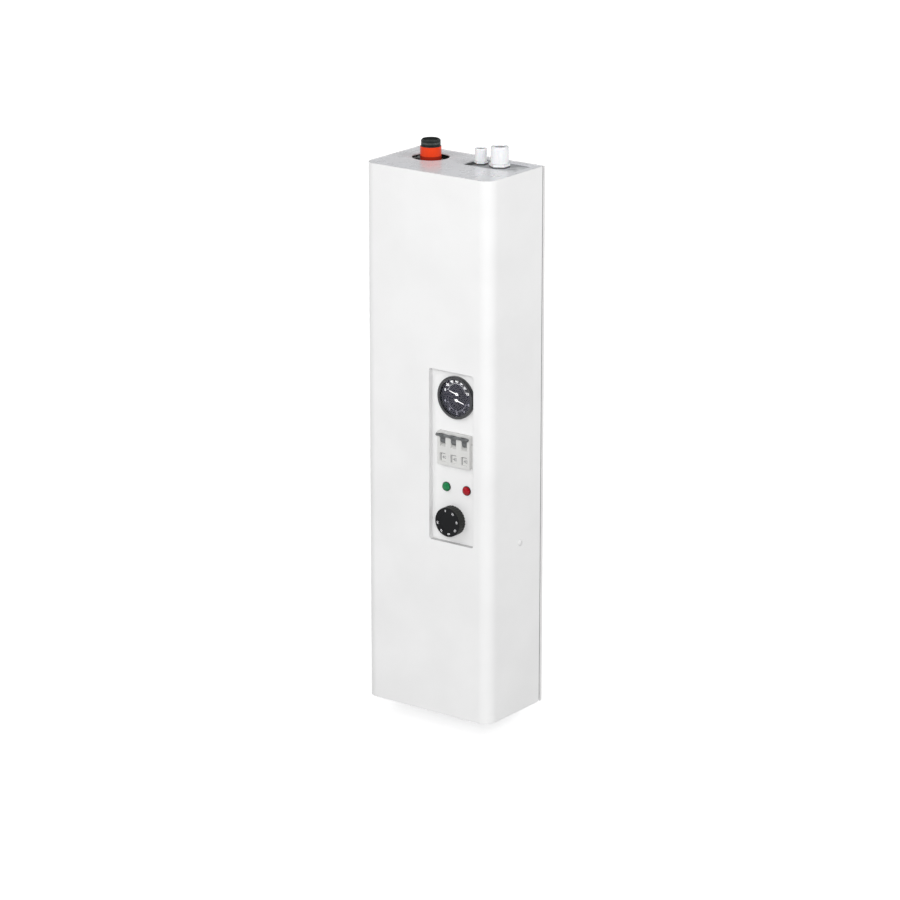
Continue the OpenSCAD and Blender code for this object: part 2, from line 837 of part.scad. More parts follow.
module inlet_pipe() {
    color("dimgray") on_pipe(inlet_z) difference() {
        union() {
            translate([tank_r - 2 * tank_t, 0, 0]) rotate([0, 90, 0])
                cylinder(h = inlet_run + 2 * tank_t, r = pipe_r);
            inlet_bend() circle(pipe_r);
            translate([inlet_x - pipe_x, 0, -inlet_bend]) mirror([0, 0, 1])
                pipe_end(inlet_z - inlet_bend + pipe_out);
        }
        translate([tank_r - 2 * tank_t - overrun, 0, 0]) rotate([0, 90, 0])
            cylinder(h = inlet_run + 2 * tank_t + overrun, r = pipe_bore_r);
        inlet_bend() circle(pipe_bore_r);
        translate([inlet_x - pipe_x, 0, -inlet_bend]) mirror([0, 0, 1])
            cylinder(h = inlet_z - inlet_bend + pipe_out + overrun, r = pipe_bore_r);
    }
}

// Sweeps a section round the inlet's quarter bend
module inlet_bend() {
    translate([tank_r + inlet_run, 0, -inlet_bend]) rotate([90, 0, 0])
        rotate_extrude(angle = 90) translate([inlet_bend, 0]) children();
}

module inlet_sleeve() {
    color("royalblue") in_case() translate([inlet_x, -pipe_y, thread_l - pipe_out])
        tube(pipe_r + seat_gap + sleeve_t, pipe_r + seat_gap, pipe_out - thread_l + sleeve_in);
}

module heater_plug() {
    color("goldenrod") on_pipe(tank_foot - boss_h) difference() {
        union() {
            cylinder(h = boss_h + tank_t, r = plug_r);
            translate([0, 0, -plug_head_h]) hexagon(plug_d * plug_head_share, plug_head_h);
        }
        for (k = [0:2], s = [-1, 1]) rotate([0, 0, k * 120])
            translate([hairpin_at, s * hairpin_r, -plug_head_h - overrun])
            cylinder(h = boss_h + tank_t + plug_head_h + 2 * overrun, r = element_d / 2 + seat_gap);
    }
}

module heating_elements() {
    foot = tank_foot - boss_h - plug_head_h - element_tail;
    color("darkslategray") for (k = [0:2]) on_pipe(0) rotate([0, 0, k * 120]) translate([hairpin_at, 0, 0]) {
        for (s = [-1, 1]) translate([0, s * hairpin_r, foot]) {
            cylinder(h = tank_foot + element_l - foot, d = element_d);
            translate([0, 0, -insulator_h]) cylinder(h = insulator_h, d = element_d - 2 * seat_gap);
            translate([0, 0, -insulator_h - terminal_stud_l])
                cylinder(h = terminal_stud_l, r = terminal_stud_r);
        }
        translate([0, 0, tank_foot + element_l]) rotate([90, 0, 90])
            rotate_extrude(angle = 180) translate([hairpin_r, 0]) circle(element_d / 2);
    }
}

function clamp_heights() = [tank_foot + strap_up, tank_top - strap_inset];
function clamp_screw_at() = tank_r + seat_gap + strap_t + strap_foot / 2;

module tank_clamp() {
    leg = pipe_y - chassis_t;
    foot_l = strap_t + strap_foot;
    translate([0, 0, -strap_w / 2]) difference() {
        linear_extrude(strap_w) {
            difference() {
                circle(tank_r + seat_gap + strap_t);
                circle(tank_r + seat_gap);
                translate([-tank_d, 0]) square([2 * tank_d, tank_d]);
            }
            for (s = [-1, 1]) {
                translate([s * (tank_r + seat_gap + strap_t / 2) - strap_t / 2, 0]) square([strap_t, leg]);
                translate([s * (tank_r + seat_gap + foot_l / 2) - foot_l / 2, leg - strap_t])
                    square([foot_l, strap_t]);
            }
        }
        for (s = [-1, 1]) translate([s * clamp_screw_at(), leg - strap_t - overrun, strap_w / 2])
            rotate([-90, 0, 0]) cylinder(h = strap_t + 2 * overrun, r = clamp_screw_r + seat_gap);
    }
}

module upper_tank_clamp() { color("silver") on_pipe(clamp_heights()[1]) tank_clamp(); }
module lower_tank_clamp() { color("silver") on_pipe(clamp_heights()[0]) tank_clamp(); }

module clamp_screws() {
    color("silver") for (z = clamp_heights(), s = [-1, 1])
        on_back(pipe_x + s * clamp_screw_at(), z) {
            translate([0, 0, -chassis_t + seat_gap]) cylinder(h = chassis_t + strap_t, r = clamp_screw_r);
            translate([0, 0, strap_t]) cylinder(h = clamp_head_h, r = clamp_head_r);
        }
}

module sensor_pocket() {
    color("goldenrod") on_pipe(pocket_z()) rotate([0, 90, 0]) difference() {
        union() {
            translate([0, 0, tank_r - pocket_in]) cylinder(h = pocket_in + pocket_out, r = pocket_r);
            translate([0, 0, tank_r + pocket_out - pocket_hex_w]) hexagon(pocket_hex_af, pocket_hex_w);
        }
        translate([0, 0, tank_r - pocket_in + tank_t]) cylinder(h = pocket_in + pocket_out,
            r = pocket_bore_r);
    }
}

// Breaker. Local frame: x along the pivot, y up, z to the viewer from the panel's face

module on_breaker(x) { on_panel(breaker_x + x, breaker_z) children(); }

function nose_z() = breaker_proud;
function rail_z() = breaker_proud - breaker_depth;
function pivot_z() = breaker_proud - pivot_in;

module din_rail() {
    w = 3 * pole_w + 2 * rail_over;
    color("silver") on_breaker(0) translate([-w / 2, 0, rail_z()]) rotate([90, 0, 90]) linear_extrude(w)
        union() {
        for (s = [-1, 1]) {
            translate([s * (rail_h + rail_well) / 4 - (rail_h - rail_well) / 4, -rail_t])
                square([(rail_h - rail_well) / 2, rail_t]);
            translate([s * (rail_well - rail_t) / 2 - rail_t / 2, -rail_d]) square([rail_t, rail_d]);
        }
        translate([-rail_well / 2, -rail_d]) square([rail_well, rail_t]);
    }
}

module rail_standoffs() {
    l = panel_y - chassis_t + rail_z() - rail_d;
    color("silver") for (s = [-1, 1]) on_breaker(s * pole_w / 2) translate([0, 0, rail_z() - rail_d - l])
        hexagon(standoff_af, l);
}

// Half height of the lever slot at the breaker's front, wide enough for the thrown lever
function slot_half() = pivot_in * tan(lever_up) + lever_t / cos(lever_up) + slot_margin;

// Height of the pivot over the breaker's middle, with the slot close to the front's upper edge
function pivot_up() = nose_h / 2 - slot_half() - slot_top;

module breaker_pole(k) {
    slot_w = lever_w + 2 * lever_gap;
    color("gainsboro") on_breaker(k * pole_w) difference() {
        translate([-pole_w / 2, 0, 0]) rotate([90, 0, 90]) linear_extrude(pole_w) difference() {
            union() {
                translate([-nose_h / 2, rail_z() - pole_back]) square([nose_h, breaker_depth + pole_back]);
                translate([-pole_h / 2, rail_z() - pole_back]) square([pole_h, shoulder_d + pole_back]);
            }
            translate([-rail_h / 2 - fit_gap, rail_z() - pole_back - overrun])
                square([rail_h + 2 * fit_gap, pole_back + overrun]);
        }
        translate([-slot_w / 2, 0, 0]) rotate([90, 0, 90]) linear_extrude(slot_w) union() {
            translate([pivot_up(), pivot_z()]) circle(drum_r + drum_gap);
            translate([pivot_up(), 0]) polygon([[-drum_r - drum_gap, pivot_z()],
                [drum_r + drum_gap, pivot_z()], [slot_half(), nose_z()],
                [slot_half(), nose_z() + overrun], [-slot_half(), nose_z() + overrun],
                [-slot_half(), nose_z()]]);
        }
        translate([-pole_w / 2 - overrun, pivot_up(), pivot_z()]) rotate([0, 90, 0])
            cylinder(h = pole_w + 2 * overrun, r = pivot_r);
        translate([0, -label_down, nose_z() - label_in]) linear_extrude(label_in + overrun)
            round_rect(label_w, label_h, label_r);
        for (s = [-1, 1]) {
            translate([0, s * (pole_h - entry_d) / 2, rail_z() + shoulder_d - entry_d - entry_h / 2])
                cube([entry_w, entry_d + overrun, entry_h], center = true);
            translate([0, s * pole_h / 2 * terminal_at_share, rail_z() + shoulder_d - terminal_in])
                cylinder(h = terminal_in + overrun, r = terminal_r);
        }
    }
}

module breaker_pole_left() { breaker_pole(-1); }
module breaker_pole_centre() { breaker_pole(0); }
module breaker_pole_right() { breaker_pole(1); }

module breaker_levers() {
    color("dimgray") for (k = [-1:1]) on_breaker(k * pole_w) translate([-lever_w / 2, pivot_up(), pivot_z()])
        rotate([-lever_up, 0, 0]) rotate([90, 0, 90]) difference() {
            linear_extrude(lever_w) union() {
                circle(drum_r);
                polygon([[-lever_t, 0], [lever_t, 0], [lever_tip, lever_reach + tie_d / 2],
                    [-lever_tip, lever_reach + tie_d / 2]]);
            }
            translate([0, 0, -overrun]) cylinder(h = lever_w + 2 * overrun, r = pivot_r + run_gap);
        }
}

module breaker_tie_bar() {
    w = 3 * pole_w - 2 * lever_gap;
    root_t = lever_tip + (lever_t - lever_tip) * tie_d / lever_reach;
    color("dimgray") on_breaker(0) translate([0, pivot_up(), pivot_z()]) rotate([-lever_up, 0, 0])
        translate([0, 0, lever_reach - tie_d / 2]) difference() {
            translate([-w / 2, -tie_h / 2, 0]) cube([w, tie_h, tie_d]);
            for (k = [-1:1]) translate([k * pole_w - lever_w / 2 - seat_gap, -root_t - seat_gap, -overrun])
                cube([lever_w + 2 * seat_gap, 2 * (root_t + seat_gap), tie_d + 2 * overrun]);
        }
}

module breaker_pivot() {
    color("silver") on_breaker(0) translate([-3 * pole_w / 2, pivot_up(), pivot_z()]) rotate([0, 90, 0])
        cylinder(h = 3 * pole_w, r = pivot_r - seat_gap / 4);
}

// Gauge. Local frame: centre of the dial, z to the viewer from the panel's face

module on_gauge() { on_panel(gauge_x, gauge_z) children(); }

function dial_top() = dial_t - dial_down;

module gauge_can() {
    color("black") on_gauge() {
        difference() {
            union() {
                translate([0, 0, -gauge_depth]) cylinder(h = gauge_depth + can_flange, r = gauge_d / 2);
                cylinder(h = can_flange, r = bezel_d / 2 - bezel_lip / 2);
            }
            translate([0, 0, -dial_down]) cylinder(h = dial_down + can_flange + overrun,
                r = gauge_d / 2 - can_t);
        }
        translate([0, 0, -gauge_depth - stub_l]) cylinder(h = stub_l + can_t, r = stub_r);
        for (s = [-1, 1]) translate([0, s * pointer_offset, -dial_down - can_t])
            cylinder(h = can_t + dial_t + spindle_l, r = spindle_r);
    }
}

module gauge_bezel() {
    r = bezel_d / 2;
    color("black") on_gauge() rotate_extrude() union() {
        translate([r - bezel_lip, can_flange]) square([bezel_lip, bezel_h - can_flange - bezel_round]);
        translate([r - bezel_lip - bezel_in, bezel_h - glass_down])
            square([bezel_lip + bezel_in - bezel_round, glass_down]);
        translate([r - bezel_round, bezel_h - bezel_round]) circle(bezel_round);
        translate([r - bezel_lip / 2 + seat_gap, 0]) square([bezel_lip / 2 - seat_gap, 2 * can_flange]);
    }
}

module gauge_dial() {
    color("black") on_gauge() translate([0, 0, -dial_down]) difference() {
        cylinder(h = dial_t, r = gauge_d / 2 - can_t - seat_gap);
        for (s = [-1, 1]) translate([0, s * pointer_offset, -overrun])
            cylinder(h = dial_t + 2 * overrun, r = spindle_r + seat_gap);
    }
}

module gauge_glass() {
    color("lightcyan", 0.3) on_gauge() translate([0, 0, bezel_h - glass_down - glass_t])
        cylinder(h = glass_t, r = bezel_d / 2 - bezel_lip - seat_gap);
}

// A pointer that points to +x before it is turned
module pointer() {
    difference() {
        union() {
            cylinder(h = pointer_t, r = pointer_hub_r);
            linear_extrude(pointer_t) polygon([[-pointer_tail, -pointer_w / 2],
                [-pointer_tail, pointer_w / 2],
                [pointer_l, pointer_w / 4], [pointer_l, -pointer_w / 4]]);
        }
        translate([0, 0, -overrun]) cylinder(h = pointer_t + 2 * overrun, r = spindle_r + run_gap);
    }
}

module temperature_pointer() {
    color("white") on_gauge() translate([0, pointer_offset, dial_top() + pointer_up])
        rotate([0, 0, temperature_rest]) pointer();
}

module pressure_pointer() {
    color("white") on_gauge() translate([0, -pointer_offset, dial_top() + pointer_up])
        rotate([0, 0, pressure_rest]) pointer();
}

module gauge_clamp() {
    out = gauge_d / 2 + clamp_gap;
    color("silver") on_gauge() difference() {
        union() {
            for (s = [-1, 1]) translate([s * (out + bracket_t / 2) - bracket_t / 2, -clamp_bar_w / 2,
                -gauge_depth - bracket_t])
                cube([bracket_t, clamp_bar_w, gauge_depth + bracket_t - panel_t]);
            translate([-out - bracket_t, -clamp_bar_w / 2, -gauge_depth - bracket_t])
                cube([2 * (out + bracket_t), clamp_bar_w, bracket_t]);
        }
        translate([0, 0, -gauge_depth - bracket_t - overrun])
            cylinder(h = bracket_t + 2 * overrun, r = stub_r + seat_gap);
    }
}

// Lamps

module lamp_holder(s) {
    on_panel(gauge_x + s * lamp_pitch / 2, lamp_z) {
        difference() {
            union() {
                translate([0, 0, -lamp_l]) cylinder(h = lamp_l, r = lamp_neck_d / 2);
                cylinder(h = lamp_rim_h, r = lamp_rim_r);
            }
            translate([0, 0, lamp_rim_h - lens_foot]) cylinder(h = lens_foot + overrun,
                r = lens_d / 2 * lens_seat_share + seat_gap);
        }
        for (k = [-1, 1]) translate([k * lamp_tab_at - lamp_tab_t / 2, -lamp_tab_w / 2, -lamp_l - lamp_tab_l])
            cube([lamp_tab_t, lamp_tab_w, lamp_tab_l + lamp_tab_t]);
    }
}

module lamp_lens(s) {
    r = lens_d / 2;
    on_panel(gauge_x + s * lamp_pitch / 2, lamp_z) translate([0, 0, lamp_rim_h]) union() {
        translate([0, 0, -lens_foot]) cylinder(h = lens_foot + seat_gap, r = r * lens_seat_share);
        intersection() {
            cylinder(h = lens_h, r = r);
            translate([0, 0, lens_h - dome_r()]) sphere(r = dome_r());
        }
    }
}

// Radius of a dome that is lens_h high over the lens, less its straight foot
function dome_r() = (pow(lens_d / 2, 2) + pow(lens_h - lens_foot, 2)) / (2 * (lens_h - lens_foot));

module green_lamp_holder() { color("black") lamp_holder(-1); }
module green_lamp_lens() { color("green") lamp_lens(-1); }
module red_lamp_holder() { color("black") lamp_holder(1); }
module red_lamp_lens() { color("red") lamp_lens(1); }

module lamp_nuts() {
    color("silver") for (s = [-1, 1]) on_panel(gauge_x + s * lamp_pitch / 2, lamp_z)
        translate([0, 0, -panel_t - lamp_nut_h])
        hex_nut(lamp_nut_af, lamp_nut_h, lamp_neck_d / 2 + seat_gap);
}

// Thermostat

module on_knob() { on_panel(knob_x, knob_z) children(); }

module thermostat_body() {
    color("darkgray") on_knob() difference() {
        union() {
            translate([0, 0, -panel_t - thermostat_d]) linear_extrude(thermostat_d)
                round_rect(thermostat_w, thermostat_w, thermostat_r);
            translate([0, 0, -panel_t - overrun]) cylinder(h = panel_t + overrun, r = neck_r);
        }
        translate([0, 0, -panel_t - thermostat_d / 2]) cylinder(h = thermostat_d + panel_t,
            r = shaft_d / 2 + run_gap);
    }
}

// Section of the shaft with its flat
module shaft_section(grow) {
    difference() {
        circle(shaft_d / 2 + grow);
        translate([-shaft_d, shaft_d * (flat_share - 0.5) + grow]) square([2 * shaft_d, shaft_d]);
    }
}

module thermostat_shaft() {
    color("silver") on_knob() {
        translate([0, 0, -panel_t - thermostat_d / 2]) cylinder(h = panel_t + thermostat_d / 2 + knob_floor,
            d = shaft_d);
        linear_extrude(knob_h - knob_face) shaft_section(0);
    }
}

module thermostat_knob() {
    r = knob_d / 2;
    color("black") on_knob() difference() {
        translate([0, 0, knob_floor]) rotate_extrude() difference() {
            union() {
                square([r, knob_h - knob_floor - knob_round]);
                square([r - knob_round, knob_h - knob_floor]);
                translate([r - knob_round, knob_h - knob_floor - knob_round]) circle(knob_round);
            }
            translate([-r, -overrun]) square([r, knob_h + overrun]);
        }
        translate([0, 0, -overrun]) linear_extrude(knob_h - knob_face + seat_gap + overrun)
            shaft_section(seat_gap);
        for (k = [0:flute_count - 1]) rotate([0, 0, k * 360 / flute_count])
            translate([r + flute_r / 3, 0, 0]) cylinder(h = knob_h + overrun, r = flute_r);
        translate([0, 0, knob_h - dish_in]) cylinder(h = dish_in + overrun, r = r * dish_share);
    }
}

// Overheat limiter under the case

module on_limiter() { in_case() translate([limiter_x, -limiter_y, end_inset]) children(); }

module limiter_body() {
    color("darkgray") on_limiter() difference() {
        union() {
            translate([-limiter_w / 2, -limiter_l / 2, chassis_t]) cube([limiter_w, limiter_l, limiter_h]);
            translate([0, 0, -bushing_l]) cylinder(h = bushing_l + chassis_t + overrun, r = bushing_r);
        }
        translate([0, 0, -bushing_l - overrun])
            cylinder(h = bushing_l + chassis_t + button_collar_h + 2 * button_travel + overrun,
                r = button_r + 2 * run_gap);
        translate([0, 0, chassis_t]) cylinder(h = button_collar_h + 2 * button_travel,
            r = button_collar_r + fit_gap);
    }
}

module limiter_nut() {
    color("silver") on_limiter() translate([0, 0, -limiter_nut_h])
        hex_nut(limiter_nut_af, limiter_nut_h, bushing_r + seat_gap);
}

module limiter_button() {
    color("red") on_limiter() {
        translate([0, 0, -bushing_l - button_out])
            cylinder(h = bushing_l + button_out + chassis_t + button_collar_h, r = button_r);
        translate([0, 0, chassis_t + run_gap]) cylinder(h = button_collar_h, r = button_collar_r);
    }
}

// Electrics on the back plate

module contactor_body() {
    base_h = contactor_h;
    front_h = contactor_h * nose_share;
    color("dimgray") on_back(contactor_x, contactor_z) difference() {
        union() {
            translate([-contactor_w / 2, -base_h / 2, 0])
                cube([contactor_w, base_h, contactor_d * step_share]);
            translate([-contactor_w / 2, -front_h / 2, 0]) cube([contactor_w, front_h, contactor_d]);
        }
        translate([-carriage_w / 2 - carriage_gap, -carriage_h / 2 - carriage_gap,
            contactor_d - carriage_l - carriage_in - carriage_gap])
            cube([carriage_w + 2 * carriage_gap, carriage_h + 2 * carriage_gap,
                carriage_l + carriage_in + overrun]);
        for (x = [-1:1], s = [-1, 1]) translate([x * contactor_w / 3, s * base_h / 2 * terminal_row_share,
            contactor_d * step_share - terminal_in])
            cylinder(h = terminal_in + overrun, r = terminal_r);
    }
}

module contactor_carriage() {
    color("whitesmoke") on_back(contactor_x, contactor_z)
        translate([-carriage_w / 2, -carriage_h / 2, contactor_d - carriage_l])
        cube([carriage_w, carriage_h, carriage_l + carriage_in / 2]);
}

module terminal_block() {
    w = terminal_count * terminal_pitch;
    color("seashell") on_back(terminal_x, terminal_z) difference() {
        union() {
            translate([-w / 2, -terminal_h / 2, 0]) cube([w, terminal_h, terminal_d * step_share]);
            translate([-w / 2, -terminal_h / 2 * nose_share, 0])
                cube([w, terminal_h * nose_share, terminal_d]);
        }
        for (k = [0:terminal_count - 1]) translate([(k - (terminal_count - 1) / 2) * terminal_pitch, 0, 0]) {
            translate([0, 0, terminal_d / 2]) cylinder(h = terminal_d, r = terminal_r);
            translate([0, terminal_h / 2 + overrun, terminal_d * step_share / 2]) rotate([90, 0, 0])
                cylinder(h = terminal_h + 2 * overrun, r = terminal_r);
        }
    }
}

// Capillary leads from the gauge, the thermostat and the limiter to the sensor pocket

// A bent round lead along points, with a ball in each bend
module lead(points) {
    for (k = [0:len(points) - 2]) {
        d = points[k + 1] - points[k];
        translate(points[k]) rotate([0, acos(d[2] / norm(d)), atan2(d[1], d[0])])
            cylinder(h = norm(d), d = lead_d);
        if (k > 0) translate(points[k]) sphere(d = lead_d * bend_share);
    }
}

// The bulb of lead k lies in the pocket, a third of a turn from the next
module bulb(k) {
    in_case() translate([pipe_x + tank_r + pocket_out - bulb_l, -pipe_y, pocket_z()]) rotate([k * 120, 0, 0])
        translate([0, 0, bulb_at]) rotate([0, 90, 0]) cylinder(h = bulb_l, r = bulb_r);
}

function bulb_end(k) = [pipe_x + tank_r + pocket_out, -pipe_y - bulb_at * sin(k * 120),
    pocket_z() + bulb_at * cos(k * 120)];

// Upright run of lead k, in the gap between the tank and the electrics
function run_x(k) = pipe_x + tank_r + pocket_out + lead_d + 2 * lead_d * k;

module capillary_leads() {
    gauge_back = gauge_depth + stub_l;
    gauge_at = [window_x + gauge_x, -panel_y + gauge_back, window_z + gauge_z];
    knob_at = [window_x + knob_x, -panel_y + panel_t + thermostat_d, window_z + knob_z];
    limit_at = [limiter_x, -limiter_y, end_inset + chassis_t + limiter_h];
    port_at = [pipe_x + tank_r + port_l, -pipe_y, pocket_z() - port_down];
    back = 4 * lead_d;
    color("peru") {
        bulb(0);
        in_case() lead([bulb_end(0) - [lead_d, 0, 0], [run_x(0), bulb_end(0)[1], bulb_end(0)[2]],
            [run_x(0), gauge_at[1] + back, gauge_at[2]],
                [gauge_at[0] + lead_d, gauge_at[1] + back, gauge_at[2]],
            gauge_at + [lead_d, 0, 0]]);
        bulb(1);
        in_case() lead([bulb_end(1) - [lead_d, 0, 0], [run_x(1), bulb_end(1)[1], bulb_end(1)[2]],
            [run_x(1), bulb_end(1)[1], knob_at[2]], knob_at + [0, back, 0], knob_at]);
        bulb(2);
        in_case() lead([bulb_end(2) - [lead_d, 0, 0], [run_x(2), bulb_end(2)[1], bulb_end(2)[2]],
            [run_x(2), bulb_end(2)[1], inlet_z + 3 * pipe_r],
                [run_x(2), -limiter_y - pipe_r, inlet_z + pipe_r],
            [run_x(2), -limiter_y - pipe_r, limit_at[2] + 2 * back], limit_at + [0, 0, 2 * back], limit_at]);
        in_case() lead([port_at, port_at + [back / 2, 0, 0],
            [port_at[0] + back / 2, gauge_at[1] + 2 * back, gauge_at[2] + back],
            gauge_at + [-lead_d, 2 * back, 0], gauge_at - [lead_d, 0, 0]]);
    }
}

back_plate();
top_plate();
bottom_plate();
front_cover();
cover_nuts();
cover_screws();
control_panel();
upper_panel_bracket();
lower_panel_bracket();
panel_nuts();
gland_plate();
small_gland_body();
small_gland_seal();
small_gland_nut();
small_gland_locknut();
large_gland_body();
large_gland_seal();
large_gland_nut();
large_gland_locknut();
tank_shell();
outlet_pipe();
outlet_sleeve();
inlet_pipe();
inlet_sleeve();
heater_plug();
heating_elements();
upper_tank_clamp();
lower_tank_clamp();
clamp_screws();
sensor_pocket();
din_rail();
rail_standoffs();
breaker_pole_left();
breaker_pole_centre();
breaker_pole_right();
breaker_levers();
breaker_tie_bar();
breaker_pivot();
gauge_can();
gauge_bezel();
gauge_dial();
gauge_glass();
temperature_pointer();
pressure_pointer();
gauge_clamp();
green_lamp_holder();
green_lamp_lens();
red_lamp_holder();
red_lamp_lens();
lamp_nuts();
thermostat_body();
thermostat_shaft();
thermostat_knob();
limiter_body();
limiter_nut();
limiter_button();
contactor_body();
contactor_carriage();
terminal_block();
capillary_leads();
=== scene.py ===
import bpy
import json
import math
import numpy as np
from mathutils import Matrix, Vector


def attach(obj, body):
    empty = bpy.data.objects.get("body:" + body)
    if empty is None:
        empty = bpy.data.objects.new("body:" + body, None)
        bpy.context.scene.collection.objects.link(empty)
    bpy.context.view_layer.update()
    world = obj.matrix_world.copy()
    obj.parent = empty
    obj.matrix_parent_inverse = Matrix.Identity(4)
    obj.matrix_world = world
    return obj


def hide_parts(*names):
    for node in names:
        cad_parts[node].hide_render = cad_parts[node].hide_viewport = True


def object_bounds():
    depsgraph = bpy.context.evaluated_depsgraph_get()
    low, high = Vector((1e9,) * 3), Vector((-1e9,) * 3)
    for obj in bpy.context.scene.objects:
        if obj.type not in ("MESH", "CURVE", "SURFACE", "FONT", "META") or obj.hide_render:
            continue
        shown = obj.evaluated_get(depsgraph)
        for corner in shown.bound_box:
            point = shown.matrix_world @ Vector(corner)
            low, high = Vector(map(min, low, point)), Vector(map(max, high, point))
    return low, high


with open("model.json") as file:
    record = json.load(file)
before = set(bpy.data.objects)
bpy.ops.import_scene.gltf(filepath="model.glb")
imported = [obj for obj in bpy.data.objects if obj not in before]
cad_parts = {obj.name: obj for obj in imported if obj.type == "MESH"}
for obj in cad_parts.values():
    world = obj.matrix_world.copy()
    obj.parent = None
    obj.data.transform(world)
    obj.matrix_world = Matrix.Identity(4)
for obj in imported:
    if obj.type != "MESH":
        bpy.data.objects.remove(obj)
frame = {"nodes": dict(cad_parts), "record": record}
nodes = frame["nodes"]
cadLow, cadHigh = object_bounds()
mm = 0.001
print("frame loaded:", len(nodes), "parts")


# Shapes

def addPiece(name, verts, faces, material, body="boiler", smooth=True, sharpAngle=35):
    # puts arrays of corners and faces into a mesh that rides on a body
    mesh = bpy.data.meshes.new(name)
    mesh.from_pydata(np.asarray(verts, float).reshape(-1, 3).tolist(), [], np.asarray(faces).tolist())
    mesh.validate()
    piece = bpy.data.objects.new(name, mesh)
    bpy.context.scene.collection.objects.link(piece)
    mesh.materials.append(material)
    if smooth:
        mesh.shade_smooth()
        mesh.set_sharp_from_angle(angle=math.radians(sharpAngle))
    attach(piece, body)
    return piece


def gridFaces(rows, columns, closeRows=False, closeColumns=False):
    # quads between neighbouring rows and columns of a grid, joined end to end where it closes
    r = np.arange(rows if closeRows else rows - 1)
    c = np.arange(columns if closeColumns else columns - 1)
    a, b = np.meshgrid(r, c, indexing="ij")
    nextA = (a + 1) % rows
    nextB = (b + 1) % columns
    quads = [a * columns + b, a * columns + nextB, nextA * columns + nextB, nextA * columns + b]
    return np.stack(quads, -1).reshape(-1, 4)


def mergeParts(parts):
    # joins several pairs of corners and faces into one pair, shifting the face numbers
    verts = []
    faces = []
    count = 0
    for partVerts, partFaces in parts:
        partVerts = np.asarray(partVerts, float).reshape(-1, 3)
        verts.append(partVerts)
        faces.extend((np.asarray(partFaces) + count).tolist())
        count += len(partVerts)
    return np.concatenate(verts), faces


def meshArrays(mesh):
    # the corners of a mesh, and the three corner numbers of each of its triangles
    mesh.calc_loop_triangles()
    verts = np.zeros(len(mesh.vertices) * 3)
    mesh.vertices.foreach_get("co", verts)
    tris = np.zeros(len(mesh.loop_triangles) * 3, int)
    mesh.loop_triangles.foreach_get("vertices", tris)
    return verts.reshape(-1, 3), tris.reshape(-1, 3)


def fixOutside(piece):
    # six times the volume inside is the sum of a . (b x c) over the triangles; below zero, all are turned
    verts, tris = meshArrays(piece.data)
    a, b, c = verts[tris.T]
    if np.einsum("ij,ij->i", a, np.cross(b, c)).sum() < 0:
        piece.data.flip_normals()


def onFront(place, points):
    # points drawn flat in mm, x right, y up and z towards the viewer, moved to a place on the front
    p = np.asarray(points, float).reshape(-1, 3)
    x, y, z = place
    return np.stack([x + p[:, 0], y - p[:, 2], z + p[:, 1]], -1) * mm


# How a material is put together

def linear(hexColour):
    # one sRGB hex colour as linear light, by the sRGB curve
    c = np.array([int(hexColour[i:i + 2], 16) for i in (0, 2, 4)]) / 255
    c = np.where(c <= 0.04045, c / 12.92, ((c + 0.055) / 1.055) ** 2.4)
    return (*c.tolist(), 1.0)


def perMm(size):
    # the scale of a pattern whose patches are this many millimetres across
    return 1 / (size * mm)


def addNode(tree, kind, inputs=None, output=0, stops=(), **settings):
    # One node with its settings. Each input is a value or a socket to link, a colour ramp also has stops
    # of a place and a hex colour, and one of the node's outputs comes back.
    node = tree.nodes.new(kind)
    for key, value in settings.items():
        setattr(node, key, value)
    for key, value in (inputs or {}).items():
        if isinstance(value, bpy.types.NodeSocket):
            tree.links.new(value, node.inputs[key])
        else:
            node.inputs[key].default_value = value
    if stops:
        elements = node.color_ramp.elements
        while len(elements) < len(stops):
            elements.new(0.5)
        for element, (place, colour) in zip(elements, stops):
            element.position = place
            element.color = linear(colour)
    return node.outputs[output]


